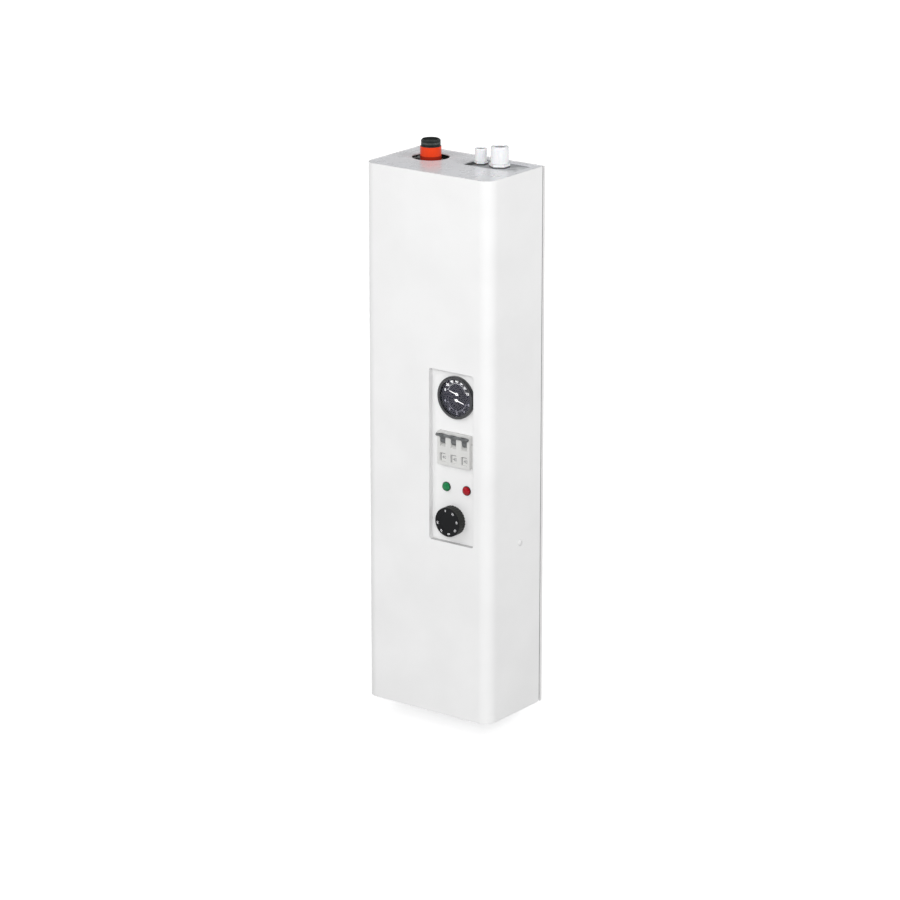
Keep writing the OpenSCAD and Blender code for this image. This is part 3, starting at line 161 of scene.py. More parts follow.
class Finish:
    # a material with one principled shader, whose patterns lie on the object's own coordinates

    def __init__(self, name, colour, roughness, metallic=0.0, coat=0.0, coatRoughness=0.1, ior=1.5,
                 specular=0.5, transmission=0.0, subsurface=0.0):
        self.material = bpy.data.materials.new(name)
        self.material.use_nodes = True
        self.tree = self.material.node_tree
        self.shader = self.tree.nodes["Principled BSDF"]
        values = {"Base Color": linear(colour), "Roughness": roughness, "Metallic": metallic,
                  "Coat Weight": coat, "Coat Roughness": coatRoughness, "IOR": ior,
                  "Specular IOR Level": specular, "Transmission Weight": transmission,
                  "Subsurface Weight": subsurface}
        for key, value in values.items():
            self.shader.inputs[key].default_value = value
        self.material.diffuse_color = linear(colour)
        self.place = self.add("ShaderNodeTexCoord", output="Object")

    def add(self, kind, inputs=None, output=0, **settings):
        # adds a node to this material
        return addNode(self.tree, kind, inputs, output, **settings)

    def link(self, socket, value):
        # lets a node drive a value of the shader
        self.tree.links.new(value, self.shader.inputs[socket])

    def zone(self, axis, low, high, soft=0.1):
        # 1 where a coordinate in millimetres lies between low and high, 0 elsewhere
        along = self.add("ShaderNodeSeparateXYZ", {"Vector": self.place}, axis)
        above = self.add("ShaderNodeMapRange", {
            "Value": along, "From Min": (low - soft) * mm, "From Max": (low + soft) * mm})
        below = self.add("ShaderNodeMapRange", {
            "Value": along, "From Min": (high - soft) * mm, "From Max": (high + soft) * mm,
            "To Min": 1.0, "To Max": 0.0})
        return self.add("ShaderNodeMath", {0: above, 1: below}, operation="MULTIPLY")

    def toned(self, colour, tone, *zones):
        # a colour that turns into another tone where all the zones are 1; a mix node's colours are its
        # inputs 6 and 7 and its output 2
        share = zones[0]
        for zone in zones[1:]:
            share = self.add("ShaderNodeMath", {0: share, 1: zone}, operation="MULTIPLY")
        return self.add("ShaderNodeMix", {0: share, 6: colour, 7: linear(tone)}, 2, data_type="RGBA")

    def gloss(self, patch, detail, roughness, less, more):
        # roughness that wanders a little less and more, in patches of this size in millimetres; noise lies
        # mostly between 0.3 and 0.7
        noise = self.add("ShaderNodeTexNoise", {
            "Vector": self.place, "Scale": perMm(patch), "Detail": detail})
        self.link("Roughness", self.add("ShaderNodeMapRange", {
            "Value": noise, "From Min": 0.3, "From Max": 0.7, "To Min": roughness - less,
            "To Max": roughness + more}))

    def surface(self, edge, *reliefs):
        # edges look rounded by a radius, and each relief of a height and a depth lies on the one before
        normal = self.add("ShaderNodeBevel", {"Radius": edge * mm}, samples=4)
        for height, depth in reliefs:
            normal = self.add("ShaderNodeBump", {"Height": height, "Distance": depth * mm, "Normal": normal})
        self.link("Normal", normal)


# Powder paints, with the sizes of their patterns in mm

paint = {"cloud": 90, "glossPatch": 14, "peel": 1.4, "finePeel": 0.35}


def paintTone(f, dark, light):
    # slow changes of tone where the powder lies a little thicker or thinner
    cloud = f.add("ShaderNodeTexNoise", {"Vector": f.place, "Scale": perMm(paint["cloud"]), "Detail": 3.0})
    return f.add("ShaderNodeValToRGB", {"Fac": cloud}, stops=[(0.35, dark), (0.62, light)])


def paintSkin(f, edge, depth, fineDepth=0.0):
    # orange peel as the powder flows in the oven, and a finer one on it where that has a depth
    peel = f.add("ShaderNodeTexNoise", {"Vector": f.place, "Scale": perMm(paint["peel"]), "Roughness": 0.4})
    reliefs = [(peel, depth)]
    if fineDepth:
        fine = f.add("ShaderNodeTexNoise", {
            "Vector": f.place, "Scale": perMm(paint["finePeel"]), "Detail": 1.0})
        reliefs.append((fine, fineDepth))
    f.surface(edge, *reliefs)


def powderCoat(name, light, dark, roughness, peel=0.035, coat=0.25, edge=0.35):
    # baked powder paint of one tone
    f = Finish(name, light, roughness, coat=coat, coatRoughness=0.12)
    f.link("Base Color", paintTone(f, dark, light))
    f.gloss(paint["glossPatch"], 4.0, roughness, 0.03, 0.04)
    paintSkin(f, edge, peel, peel * 0.25)
    return f.material


cover = {"windowX": (4.5, 77.5), "windowY": (-122.6, -116.1), "windowZ": (-127.2, 108.0),
         "sillZ": (-127.2, -125.7), "hemY": (-6.4, 0.0)}


def coverPaint(name, light, dark, wall, sill, hem, roughness):
    # the cover's powder paint, with painted shade on the walls and sill of its window and a painted shadow
    # line on the cut edge at the back, where the cover meets the chassis
    f = Finish(name, light, roughness, coat=0.25, coatRoughness=0.12)
    window = [f.zone("X", *cover["windowX"]), f.zone("Z", *cover["windowZ"]), f.zone("Y", *cover["windowY"])]
    # painted shade: grey on the walls of the window, darker grey on its sill
    colour = f.toned(paintTone(f, dark, light), wall, *window)
    colour = f.toned(colour, sill, *window, f.zone("Z", *cover["sillZ"]))
    # painted shadow of the gap along the cover's rear edge
    f.link("Base Color", f.toned(colour, hem, f.zone("Y", *cover["hemY"])))
    f.gloss(paint["glossPatch"], 4.0, roughness, 0.03, 0.04)
    paintSkin(f, 0.35, 0.035, 0.009)
    return f.material


endPlate = {"insideZ": (-367.8, 367.8)}


def endPlatePaint(name, light, dark, inside, roughness):
    # glossy powder coat on the outward face; the folded edges inside the case are near black as painted shade
    f = Finish(name, light, roughness, coat=0.3, coatRoughness=0.12)
    f.link("Base Color", f.toned(paintTone(f, dark, light), inside, f.zone("Z", *endPlate["insideZ"])))
    f.gloss(paint["glossPatch"], 4.0, roughness, 0.03, 0.04)
    paintSkin(f, 0.35, 0.012)
    return f.material


chassis = {"foldY": (-4.6, -4.2)}


def chassisPaint(name, light, dark, foldShade, roughness):
    # powder paint with painted shade in the fold between rim and sides, further than 4.4 mm from the wall
    f = Finish(name, light, roughness, coat=0.25, coatRoughness=0.12)
    front, back = chassis["foldY"]
    depth = f.add("ShaderNodeSeparateXYZ", {"Vector": f.place}, "Y")
    rim = f.add("ShaderNodeMapRange", {"Value": depth, "From Min": front * mm, "From Max": back * mm})
    cloud = f.add("ShaderNodeTexNoise", {"Vector": f.place, "Scale": perMm(paint["cloud"]), "Detail": 3.0})
    cloudOrFoldShade = f.add("ShaderNodeMath", {0: cloud, 1: rim}, operation="MULTIPLY")
    # painted shade: the first stop is the grey of the fold
    f.link("Base Color", f.add("ShaderNodeValToRGB", {"Fac": cloudOrFoldShade}, stops=[
        (0.15, foldShade), (0.35, dark), (0.62, light)]))
    paintSkin(f, 0.25, 0.035)
    return f.material


# Plastics

def mouldedPlastic(name, light, dark, roughness, grain=0.02, coat=0.0, subsurface=0.0, specular=0.5,
                   band=None):
    # injection-moulded plastic: spark grain 0.22 mm across, and flow shades 22 mm wide and 44 mm high
    f = Finish(name, light, roughness, coat=coat, coatRoughness=0.08, subsurface=subsurface,
               specular=specular)
    f.shader.inputs["Subsurface Scale"].default_value = 1.0 * mm
    upright = f.add("ShaderNodeMapping", {"Vector": f.place, "Scale": (1, 1, 0.5)})
    flow = f.add("ShaderNodeTexNoise", {"Vector": upright, "Scale": perMm(22), "Detail": 3.0})
    colour = f.add("ShaderNodeValToRGB", {"Fac": flow}, stops=[(0.35, dark), (0.65, light)])
    if band:
        axis, low, high, tone = band
        colour = f.toned(colour, tone, f.zone(axis, low, high))
    spark = f.add("ShaderNodeTexNoise", {"Vector": f.place, "Scale": perMm(0.22)})
    f.link("Base Color", colour)
    f.gloss(3, 3.0, roughness, 0.04, 0.05)
    f.surface(0.25, (spark, grain))
    return f.material


def clearTint(name, colour, deep):
    # pressed acrylic: diamonds of sin x times sin z, 1.6 mm apart and turned by 45 degrees, under a gloss
    f = Finish(name, colour, 0.18, coat=0.15, coatRoughness=0.05, ior=1.49, specular=0.2)
    turned = f.add("ShaderNodeMapping", {"Vector": f.place, "Rotation": (0, math.radians(45), 0)})
    waves = []
    for axis in ("X", "Z"):
        across = f.add("ShaderNodeSeparateXYZ", {"Vector": turned}, axis)
        across = f.add("ShaderNodeMath", {0: across, 1: 2 * math.pi * perMm(1.6)}, operation="MULTIPLY")
        waves.append(f.add("ShaderNodeMath", {0: across}, operation="SINE"))
    diamonds = f.add("ShaderNodeMath", {0: waves[0], 1: waves[1]}, operation="MULTIPLY")
    height = f.add("ShaderNodeMapRange", {"Value": diamonds, "From Min": -1.0})
    f.link("Base Color", f.add("ShaderNodeValToRGB", {"Fac": height}, stops=[(0.2, deep), (0.85, colour)]))
    f.link("Normal", f.add("ShaderNodeBump", {"Height": diamonds, "Distance": 0.12 * mm, "Strength": 0.6}))
    return f.material


# Metals

def toolMarkedMetal(name, light, dark, roughness, marks=(1, 1, 30), metallic=1.0, band=None):
    # turned or drawn metal: marks 2 mm long and 0.07 to 0.1 mm apart, which only make the shine uneven here
    f = Finish(name, light, roughness, metallic=metallic)
    where = f.add("ShaderNodeMapping", {"Vector": f.place, "Scale": marks})
    grain = f.add("ShaderNodeTexNoise", {"Vector": where, "Scale": perMm(2), "Detail": 4.0})
    colour = f.add("ShaderNodeValToRGB", {"Fac": grain}, stops=[(0.3, dark), (0.7, light)])
    if band:
        axis, low, high, tone = band
        colour = f.toned(colour, tone, f.zone(axis, low, high, 0.5))
    f.link("Base Color", colour)
    f.gloss(6, 3.0, roughness, 0.06, 0.08)
    f.surface(0.2, (grain, 0.006))
    return f.material


def zincSpangle(name, dark, middle, light):
    # zinc crystals 3.5 mm across, each with its own tone and gloss, from bluish to a little yellow
    f = Finish(name, middle, 0.32, metallic=1.0)
    crystals = f.add("ShaderNodeTexVoronoi", {"Vector": f.place, "Scale": perMm(3.5)}, "Color")
    tone = f.add("ShaderNodeSeparateColor", {"Color": crystals})
    bloom = f.add("ShaderNodeTexNoise", {"Vector": f.place, "Scale": perMm(0.5), "Detail": 3.0})
    f.link("Base Color", f.add("ShaderNodeValToRGB", {"Fac": tone}, stops=[
        (0.1, dark), (0.55, middle), (0.9, light)]))
    f.link("Roughness", f.add("ShaderNodeMapRange", {"Value": tone, "To Min": 0.24, "To Max": 0.4}))
    f.surface(0.2, (bloom, 0.004))
    return f.material


bracket = {"leftEnd": (0.0, 19.0), "diagonal": (95.0, 101.0)}


def bracketZinc(name, light, shade, deep, roughness):
    # dull zinc: light at its open front corner, greyer behind the line x - y = 98 mm as a painted shadow of
    # the large gland, and dark at its left end as painted shade
    f = Finish(name, light, roughness, metallic=0.2)
    right = f.add("ShaderNodeSeparateXYZ", {"Vector": f.place}, "X")
    rearward = f.add("ShaderNodeSeparateXYZ", {"Vector": f.place}, "Y")
    forward = f.add("ShaderNodeMath", {0: right, 1: rearward}, operation="SUBTRACT")
    near, far = bracket["diagonal"]
    behind = f.add("ShaderNodeMapRange", {
        "Value": forward, "From Min": near * mm, "From Max": far * mm, "To Min": 1.0, "To Max": 0.0})
    cloud = f.add("ShaderNodeTexNoise", {"Vector": f.place, "Scale": perMm(12), "Detail": 4.0})
    bloom = f.add("ShaderNodeTexNoise", {"Vector": f.place, "Scale": perMm(0.5), "Detail": 3.0})
    colour = f.add("ShaderNodeValToRGB", {"Fac": cloud}, stops=[(0.3, shade), (0.7, light)])
    colour = f.toned(colour, shade, behind)
    f.link("Base Color", f.toned(colour, deep, f.zone("X", *bracket["leftEnd"], 1.0)))
    f.surface(0.2, (bloom, 0.004))
    return f.material


tank = {"middle": 20.0, "reach": 280.0, "tintWidth": 20.0}


def weldedTank(name, brown, blue, grey, pale):
    # rolled steel with a heat tint that fades over 20 mm from the welded ends
    f = Finish(name, grey, 0.4, metallic=1.0)
    height = f.add("ShaderNodeSeparateXYZ", {"Vector": f.place}, "Z")
    fromMiddle = f.add("ShaderNodeMath", {0: height, 1: tank["middle"] * mm}, operation="SUBTRACT")
    fromMiddle = f.add("ShaderNodeMath", {0: fromMiddle}, operation="ABSOLUTE")
    fromEnd = f.add("ShaderNodeMath", {0: tank["reach"] * mm, 1: fromMiddle}, operation="SUBTRACT")
    fromEnd = f.add("ShaderNodeMath", {0: fromEnd}, operation="ABSOLUTE")
    cool = f.add("ShaderNodeMapRange", {"Value": fromEnd, "From Max": tank["tintWidth"] * mm, "To Max": 0.7})
    cloud = f.add("ShaderNodeTexNoise", {"Vector": f.place, "Scale": perMm(20), "Detail": 3.0})
    cloud = f.add("ShaderNodeMath", {0: cloud, 1: 0.3}, operation="MULTIPLY")
    tone = f.add("ShaderNodeMath", {0: cool, 1: cloud}, operation="ADD")
    f.link("Base Color", f.add("ShaderNodeValToRGB", {"Fac": tone}, stops=[
        (0.1, brown), (0.3, blue), (0.6, grey), (0.95, pale)]))
    rolled = f.add("ShaderNodeMapping", {"Vector": f.place, "Scale": (1, 1, 12)})
    rolled = f.add("ShaderNodeTexNoise", {"Vector": rolled, "Scale": perMm(2), "Detail": 4.0})
    f.surface(0.3, (rolled, 0.01))
    return f.material


# Glass and ink

def gaugeGlass(name):
    # glass that is a little wavy, with waves 18 mm across, and that lets the lamps' light through to the dial
    f = Finish(name, "FFFFFF", 0.02, transmission=1.0, ior=1.22)
    wave = f.add("ShaderNodeTexNoise", {"Vector": f.place, "Scale": perMm(18), "Detail": 1.0})
    f.link("Normal", f.add("ShaderNodeBump", {"Height": wave, "Distance": 0.004 * mm}))
    through = f.add("ShaderNodeBsdfTransparent")
    shadowRay = f.add("ShaderNodeLightPath", output="Is Shadow Ray")
    mixed = f.add("ShaderNodeMixShader", {0: shadowRay, 1: f.shader.outputs[0], 2: through})
    f.tree.links.new(mixed, f.tree.nodes["Material Output"].inputs["Surface"])
    return f.material


def flatInk(name, colour):
    # screen-printed ink: one flat tone with a faint unevenness 0.3 mm across
    f = Finish(name, colour, 0.5)
    speck = f.add("ShaderNodeTexNoise", {"Vector": f.place, "Scale": perMm(0.3)})
    f.link("Normal", f.add("ShaderNodeBump", {"Height": speck, "Distance": 0.004 * mm}))
    return f.material


looks = {
    # polyester powder coat, sprayed and baked on the cover: an even white, with painted shade in grey on the
    # walls and sill of its window and along its rear edge
    "white_enamel": coverPaint("whitePowderCoat", "F4F4F4", "F0F0F0", "E0E0E0", "B8B8B8", "7C7C7E", 0.34),
    # the same powder coat on folded sheet: white, with a painted shade line in the fold
    "chassis_enamel": chassisPaint("chassisPowderCoat", "EFEFEE", "E9E9E9", "8E8E90", 0.36),
    # glossy powder coat on the end plates: bluish white that shows soft images of the pipe and the glands,
    # with painted shade on the edges inside the case
    "end_enamel": endPlatePaint("endPlateGlossCoat", "E4E5E8", "DFE0E4", "1C211F", 0.28),
    # hot-dipped zinc on clamps, nuts and rail: a patchwork of small bright crystals
    "zinc": zincSpangle("brightZinc", "B3B8BD", "C6C8C7", "D2CFC4"),
    # baked paint on the screw heads: white, a touch greyer than the cover
    "screw_white": powderCoat("whiteScrewPaint", "E9E9E9", "E0E0E0", 0.3, peel=0.01, edge=0.2),
    # moulded polyamide of the glands: milky white with a soft glow, and a dark band of painted contact shade
    # at the foot against the plate
    "gland_nylon": mouldedPlastic("whiteNylon", "EEEEF0", "E6E6E9", 0.3, coat=0.3, subsurface=0.1,
                                  band=("Z", 367.9, 370.1, "4E4E51")),
    # moulded rubber of the gland seals: dull mid grey
    "gland_rubber": mouldedPlastic("greySealRubber", "A6A6A8", "98989A", 0.62, grain=0.04),
    # turned and blackened steel pipe: greenish black, with a lighter band of painted highlight where the
    # thread runs out
    "pipe_black": toolMarkedMetal("blackenedSteel", "4A504E", "343A39", 0.4, metallic=0.7,
                                  band=("Z", 387.2, 389.8, "747A78")),
    # rolled and welded steel: grey, with brown and blue next to the welds
    "tank_steel": weldedTank("weldedTankSteel", "5B4A33", "6E6E7C", "8E9093", "9A9C9E"),
    # extruded sleeve of the warm pipe: satin red, with painted shade in deeper red where it goes into the
    # case
    "sleeve_red": mouldedPlastic("redSleeveSatin", "E8400F", "DC380C", 0.42, grain=0.005, coat=0.1,
                                 specular=0.3, band=("Z", 340.0, 371.6, "9A2412")),
    # extruded sleeve of the cold pipe: satin blue
    "sleeve_blue": mouldedPlastic("blueSleeveSatin", "2453BE", "1C48AC", 0.42, grain=0.005, coat=0.1,
                                  specular=0.3),
    # turned brass: warm yellow with an uneven shine
    "brass": toolMarkedMetal("turnedBrass", "CDA661", "B08A48", 0.28, marks=(20, 1, 1)),
    # drawn steel tube of the heating elements: dull brownish grey
    "element_steel": toolMarkedMetal("drawnElementTube", "8B8781", "5F5C5B", 0.42),
    # moulded breaker housing: pale warm grey, hardly glossy
    "breaker_case": mouldedPlastic("paleGreyBreaker", "DFDFDD", "D8D8D6", 0.42, grain=0.03),
    # moulded breaker levers: dark grey satin
    "breaker_lever": mouldedPlastic("darkGreyLever", "6A6C6D", "5C5E60", 0.36, grain=0.02),
    # moulded gauge rim: polished black with a soft grey shine
    "gauge_black": mouldedPlastic("glossBlackBezel", "26272B", "1E1F22", 0.24, grain=0.005, coat=0.4),
    # printed dial: flat blue-black that hardly reflects
    "dial_black": mouldedPlastic("printedDialBlack", "1A1A26", "14141E", 0.6, grain=0.01, specular=0.2),
    # stamped and painted pointers: plain white
    "pointer_white": powderCoat("whitePointerPaint", "F7F7F7", "F0F0F0", 0.4, peel=0.004, coat=0.1,
                                edge=0.08),
    # moulded lamp bodies: black satin
    "lamp_black": mouldedPlastic("blackLampBody", "2A2A2C", "202022", 0.4),
    # pressed acrylic lenses, unlit: deep green and deep red with small diamonds
    "lens_green": clearTint("greenLens", "269458", "0F5F38"),
    "lens_red": clearTint("redLens", "C40A20", "7A0414"),
    # moulded thermostat case: matt mid grey
    "thermostat_case": mouldedPlastic("greyThermostatCase", "8C8C8E", "7E7E80", 0.5),
    # moulded knob with spark grain: satin black face, and a painted sheen that makes the scalloped flank
    # lighter
    "knob_black": mouldedPlastic("satinBlackKnob", "151618", "101113", 0.5, grain=0.03, specular=0.16,
                                 band=("Y", -129.2, -110.0, "30312F")),
    # moulded contactor housing: dark grey, hardly glossy
    "electric_grey": mouldedPlastic("darkGreyContactor", "55585B", "494C4F", 0.46),
    # moulded terminal blocks: ivory
    "electric_white": mouldedPlastic("ivoryTerminal", "EDEAE2", "E3DFD6", 0.46),
    # drawn copper tube: warm pink metal
    "copper": toolMarkedMetal("drawnCopper", "D98D66", "B56C48", 0.3),
    # moulded reset button: satin red
    "reset_red": mouldedPlastic("redResetButton", "C22B26", "AE201D", 0.36),
    # polished float glass over the dial: clear, with a thin reflection
    "gauge_glass": gaugeGlass("clearGaugeGlass"),
}
# passivated zinc of the gland plate under the cut-out: dull and pale, in shade at its left end and behind
bracketLook = bracketZinc("passivatedZincPlate", "E2E4E6", "A4A6A9", "2E2F31", 0.5)
# inks: bright white on the dial and knob, grey on the breaker's numbers and for the painted shade bars beside
# them, dim violet-grey for the dial's lower scale
whiteInk = flatInk("whiteScaleInk", "F4F4F6")
greyInkAndShade = flatInk("greyPrintAndPaintedShade", "8E8F91")
dimInk = flatInk("dimScaleInk", "A5A3B0")

# each CAD node gets the look of its slot in the record, and the gland plate its own
for row in frame["record"]["subparts"]:
    look = bracketLook if row["node"] == "gland_plate" else looks[row["material_slot"]]
    finishes = nodes[row["node"]].data.materials
    finishes.clear()
    finishes.append(look)
print("finishes assigned:", len(looks))


# Pipe ends with their threads

pipes = {
    "outerR": 13.45, "boreR": 10.25, "threadR": 13.2, "pitch": 1.814, "depth": 1.1, "threadLength": 9.5,
    "fadeLength": 1.2, "chamfer": 1.8, "tipZ": 393.5, "axisY": -44.0, "outletX": -51.0, "outletFoot": 298.0,
    "inletX": 11.21, "bendR": 24.21, "inletHigh": -230.0, "inletStart": -20.0,
    "around": 168, "coarseRows": 14, "threadRows": 98, "bendRows": 24, "rowGap": 0.05,
}


def threadedPipe(name, centres, across, arc, length, nodeName):
    # A tube swept along its path: a point is the centre plus the radius times a turn round the path. Over
    # the threaded end the outer radius is threadR - depth * fade * (0.5 - 0.5 cos(turns)) ^ 0.8, where
    # turns is the angle plus 2 pi * the distance from the tip / pitch, and 45 degrees are cut off the tip.
    p = pipes
    angle = np.linspace(0, 2 * np.pi, p["around"], endpoint=False)
    side = np.array([0.0, 1.0, 0.0])
    fromTip = (length - arc)[:, None]
    turns = angle[None, :] + 2 * np.pi * fromTip / p["pitch"]
    groove = (0.5 - 0.5 * np.cos(turns)) ** 0.8
    fade = np.clip((p["threadLength"] - fromTip) / p["fadeLength"], 0, 1)
    cap = p["threadR"] - np.clip(p["chamfer"] - fromTip, 0, None)
    thread = np.minimum(p["threadR"] - p["depth"] * groove * fade, cap)
    radius = np.where(fromTip <= p["threadLength"], thread, p["outerR"])
    ring = np.cos(angle)[None, :, None] * across[:, None, :] + np.sin(angle)[None, :, None] * side
    outer = centres[:, None, :] + radius[:, :, None] * ring
    inner = centres[:, None, :] + p["boreR"] * ring
    grid = np.concatenate([outer, inner[::-1]])
    faces = gridFaces(len(grid), len(angle), closeRows=True, closeColumns=True)
    piece = addPiece(name, grid * mm, faces, looks["pipe_black"])
    fixOutside(piece)
    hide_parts(nodeName)


def threadRows(total):
    # distances along a pipe: coarse over its length, close together over the thread
    start = total - pipes["threadLength"]
    coarse = np.linspace(0, start - pipes["rowGap"], pipes["coarseRows"])
    return np.concatenate([coarse, np.linspace(start, total, pipes["threadRows"])])


outletLength = pipes["tipZ"] - pipes["outletFoot"]
rows = threadRows(outletLength)
ones = np.ones_like(rows)
outletCentres = np.stack([ones * pipes["outletX"], ones * pipes["axisY"], pipes["outletFoot"] + rows], -1)
outletAcross = np.stack([ones, 0 * ones, 0 * ones], -1)
threadedPipe("outletThreadedPipe", outletCentres, outletAcross, rows, outletLength, "outlet_pipe")

# the inlet leaves the tank level, turns down by a quarter bend and runs straight to its tip
levelRun = pipes["inletX"] - pipes["bendR"] - pipes["inletStart"]
quarter = math.pi / 2 * pipes["bendR"]
drop = pipes["inletHigh"] - pipes["bendR"] + pipes["tipZ"]
inletLength = levelRun + quarter + drop
bendRows = np.linspace(levelRun, levelRun + quarter, pipes["bendRows"])
rows = np.unique(np.concatenate([bendRows, threadRows(inletLength)]))
ones = np.ones_like(rows)
turned = np.clip((rows - levelRun) / pipes["bendR"], 0, math.pi / 2)
straight = np.clip(rows - levelRun - quarter, 0, None)
inletX = pipes["inletStart"] + np.minimum(rows, levelRun) + pipes["bendR"] * np.sin(turned)
inletZ = pipes["inletHigh"] - pipes["bendR"] * (1 - np.cos(turned)) - straight
inletCentres = np.stack([inletX, ones * pipes["axisY"], inletZ], -1)
inletAcross = np.stack([np.sin(turned), 0 * ones, np.cos(turned)], -1)
threadedPipe("inletThreadedPipe", inletCentres, inletAcross, rows, inletLength, "inlet_pipe")
print("pipe threads cut")


# Flat print

def textShape(words, size, bold):
    # a word as flat corners and triangles, centred on its own middle, in millimetres
    curve = bpy.data.curves.new("scaleText", "FONT")
    curve.body = words
    curve.size = size
    curve.offset = bold
    curve.align_x = "CENTER"
    curve.align_y = "CENTER"
    curve.resolution_u = 4
    holder = bpy.data.objects.new("scaleText", curve)
    bpy.context.scene.collection.objects.link(holder)
    bpy.context.view_layer.update()
    mesh = bpy.data.meshes.new_from_object(holder.evaluated_get(bpy.context.evaluated_depsgraph_get()))
    verts, tris = meshArrays(mesh)
    bpy.data.objects.remove(holder)
    bpy.data.curves.remove(curve)
    bpy.data.meshes.remove(mesh)
    middle = (verts.min(0) + verts.max(0)) / 2
    return verts - middle, tris


def barShape(length, width):
    # a flat rectangle about its own middle
    corners = np.array([[-1, -1, 0], [1, -1, 0], [1, 1, 0], [-1, 1, 0]]) / 2
    return corners * [length, width, 0], np.array([[0, 1, 2], [0, 2, 3]])


def arcShape(radius, width, fromAngle, toAngle, steps=72):
    # a flat band along an arc, with corners at radius - width / 2 and radius + width / 2 for each angle
    a = np.radians(np.linspace(fromAngle, toAngle, steps))
    r = np.array([radius - width / 2, radius + width / 2])
    grid = np.stack([r[:, None] * np.cos(a), r[:, None] * np.sin(a), np.zeros((2, steps))], -1)
    quads = gridFaces(2, steps)
    return grid.reshape(-1, 3), np.concatenate([quads[:, [0, 1, 2]], quads[:, [0, 2, 3]]])


def turnedShape(shape, angle, x, y, height):
    # a flat shape turned by an angle in degrees and moved to a point at a height over its plane
    v, f = shape
    c = math.cos(math.radians(angle))
    s = math.sin(math.radians(angle))
    moved = [x + c * v[:, 0] - s * v[:, 1], y + s * v[:, 0] + c * v[:, 1], np.full(len(v), height)]
    return np.stack(moved, -1), f


def onCircle(radius, angle):
    # the point at a radius and an angle in degrees
    return radius * math.cos(math.radians(angle)), radius * math.sin(math.radians(angle))


def printPiece(name, place, shapes, ink, body="boiler"):
    verts, faces = mergeParts(shapes)
    addPiece(name, onFront(place, verts), faces, ink, body=body, smooth=False)


# Dial of the gauge

dial = {
    "place": (45.0, -115.5, 73.9969), "rise": 0.04, "sweep": -150,
    "longTick": (2.0, 0.36), "shortTick": (1.2, 0.2), "tickR": 14.2, "arcWidth": 0.16,
    "numberR": 19.6, "numberShift": 0.55, "bold": 0.14,
    "temperature": {"numbers": [0, 20, 40, 60, 80, 100, 120], "pivotY": 4.2, "start": 165,
                    "between": 4, "size": 4.7},
    "pressure": {"numbers": [0, 1, 2, 3, 4], "pivotY": -4.2, "start": 345, "between": 5, "size": 4.4},
}


def scaleMarks(scale):
    # ticks spread evenly over the sweep, a number at each long one, and an arc under them
    d = dial
    shapes = []
    total = (len(scale["numbers"]) - 1) * scale["between"]
    for k in range(total + 1):
        number, rest = divmod(k, scale["between"])
        angle = scale["start"] + d["sweep"] * k / total
        length, width = d["shortTick"] if rest else d["longTick"]
        x, y = onCircle(d["tickR"] + length / 2, angle)
        shapes.append(turnedShape(barShape(length, width), angle, x, scale["pivotY"] + y, d["rise"]))
        if rest == 0:
            x, y = onCircle(d["numberR"], angle)
            word = textShape(str(scale["numbers"][number]), scale["size"], d["bold"])
            shapes.append(turnedShape(word, 0, x, d["numberShift"] * scale["pivotY"] + y, d["rise"]))
    arc = arcShape(d["tickR"], d["arcWidth"], scale["start"], scale["start"] + d["sweep"])
    shapes.append(turnedShape(arc, 0, 0, scale["pivotY"], d["rise"]))
    return shapes


printPiece("temperatureScale", dial["place"], scaleMarks(dial["temperature"]), whiteInk)
printPiece("pressureScale", dial["place"], scaleMarks(dial["pressure"]), dimInk)
print("dial printed")


# Numbers on the knob

knob = {"place": (39.3, -129.7, -95.4), "rise": 0.03, "numberR": 15.8, "size": 4.0, "bold": 0.06,
        "numbers": [0, 30, 40, 50, 60, 70, 80], "start": 100.0, "step": -45.0}
knobShapes = []
for k, number in enumerate(knob["numbers"]):
    angle = knob["start"] + knob["step"] * k
    x, y = onCircle(knob["numberR"], angle)
    word = textShape(str(number), knob["size"], knob["bold"])
    knobShapes.append(turnedShape(word, angle - 90, x, y, knob["rise"]))
printPiece("knobNumbers", knob["place"], knobShapes, whiteInk, body="thermostat_dial")
print("knob printed")


# Marks on the breaker's three labels: a printed number, and an upright bar at its left and a short bar above
# it, which are painted shade of the label's recessed left and top walls

breaker = {"place": (43.6, -119.1, 2.69688), "rise": 0.03, "pole": 17.5, "labelDown": 12.3,
           "number": "40", "size": 6.2, "bold": 0.06, "numberAt": (0.8, -0.6),
           "upright": (1.3, 11.1), "uprightAt": (-4.25, 0.0), "above": (7.35, 1.3), "aboveAt": (-1.05, 4.75)}
breakerShapes = []
for pole in (-1, 0, 1):
    marks = [(textShape(breaker["number"], breaker["size"], breaker["bold"]), breaker["numberAt"]),
             # the two bars are painted shade, not print
             (barShape(*breaker["upright"]), breaker["uprightAt"]),
             (barShape(*breaker["above"]), breaker["aboveAt"])]
    for shape, (x, y) in marks:
        x = x + pole * breaker["pole"]
        y = y - breaker["labelDown"]
        breakerShapes.append(turnedShape(shape, 0, x, y, breaker["rise"]))
printPiece("breakerNumbersAndShadeBars", breaker["place"], breakerShapes, greyInkAndShade)
print("breaker labels printed")


# Cover screws

screws = {"x": 102.0, "y": -51.6, "z": -132.0, "headR": 4.5, "headH": 2.4, "domeR": 5.5, "shankR": 2.0,
          "shankL": 6.0, "poleR": 0.02, "slotR": 2.6, "slotW": 0.95, "slotDepth": 1.3, "slotRun": 0.5,
          "slotRise": 0.35, "flankEdge": 0.12, "flankWidth": 0.16, "slotMargin": 0.4, "ringStep": 0.1,
          "slotRings": 26, "rimRings": 10, "around": 96}


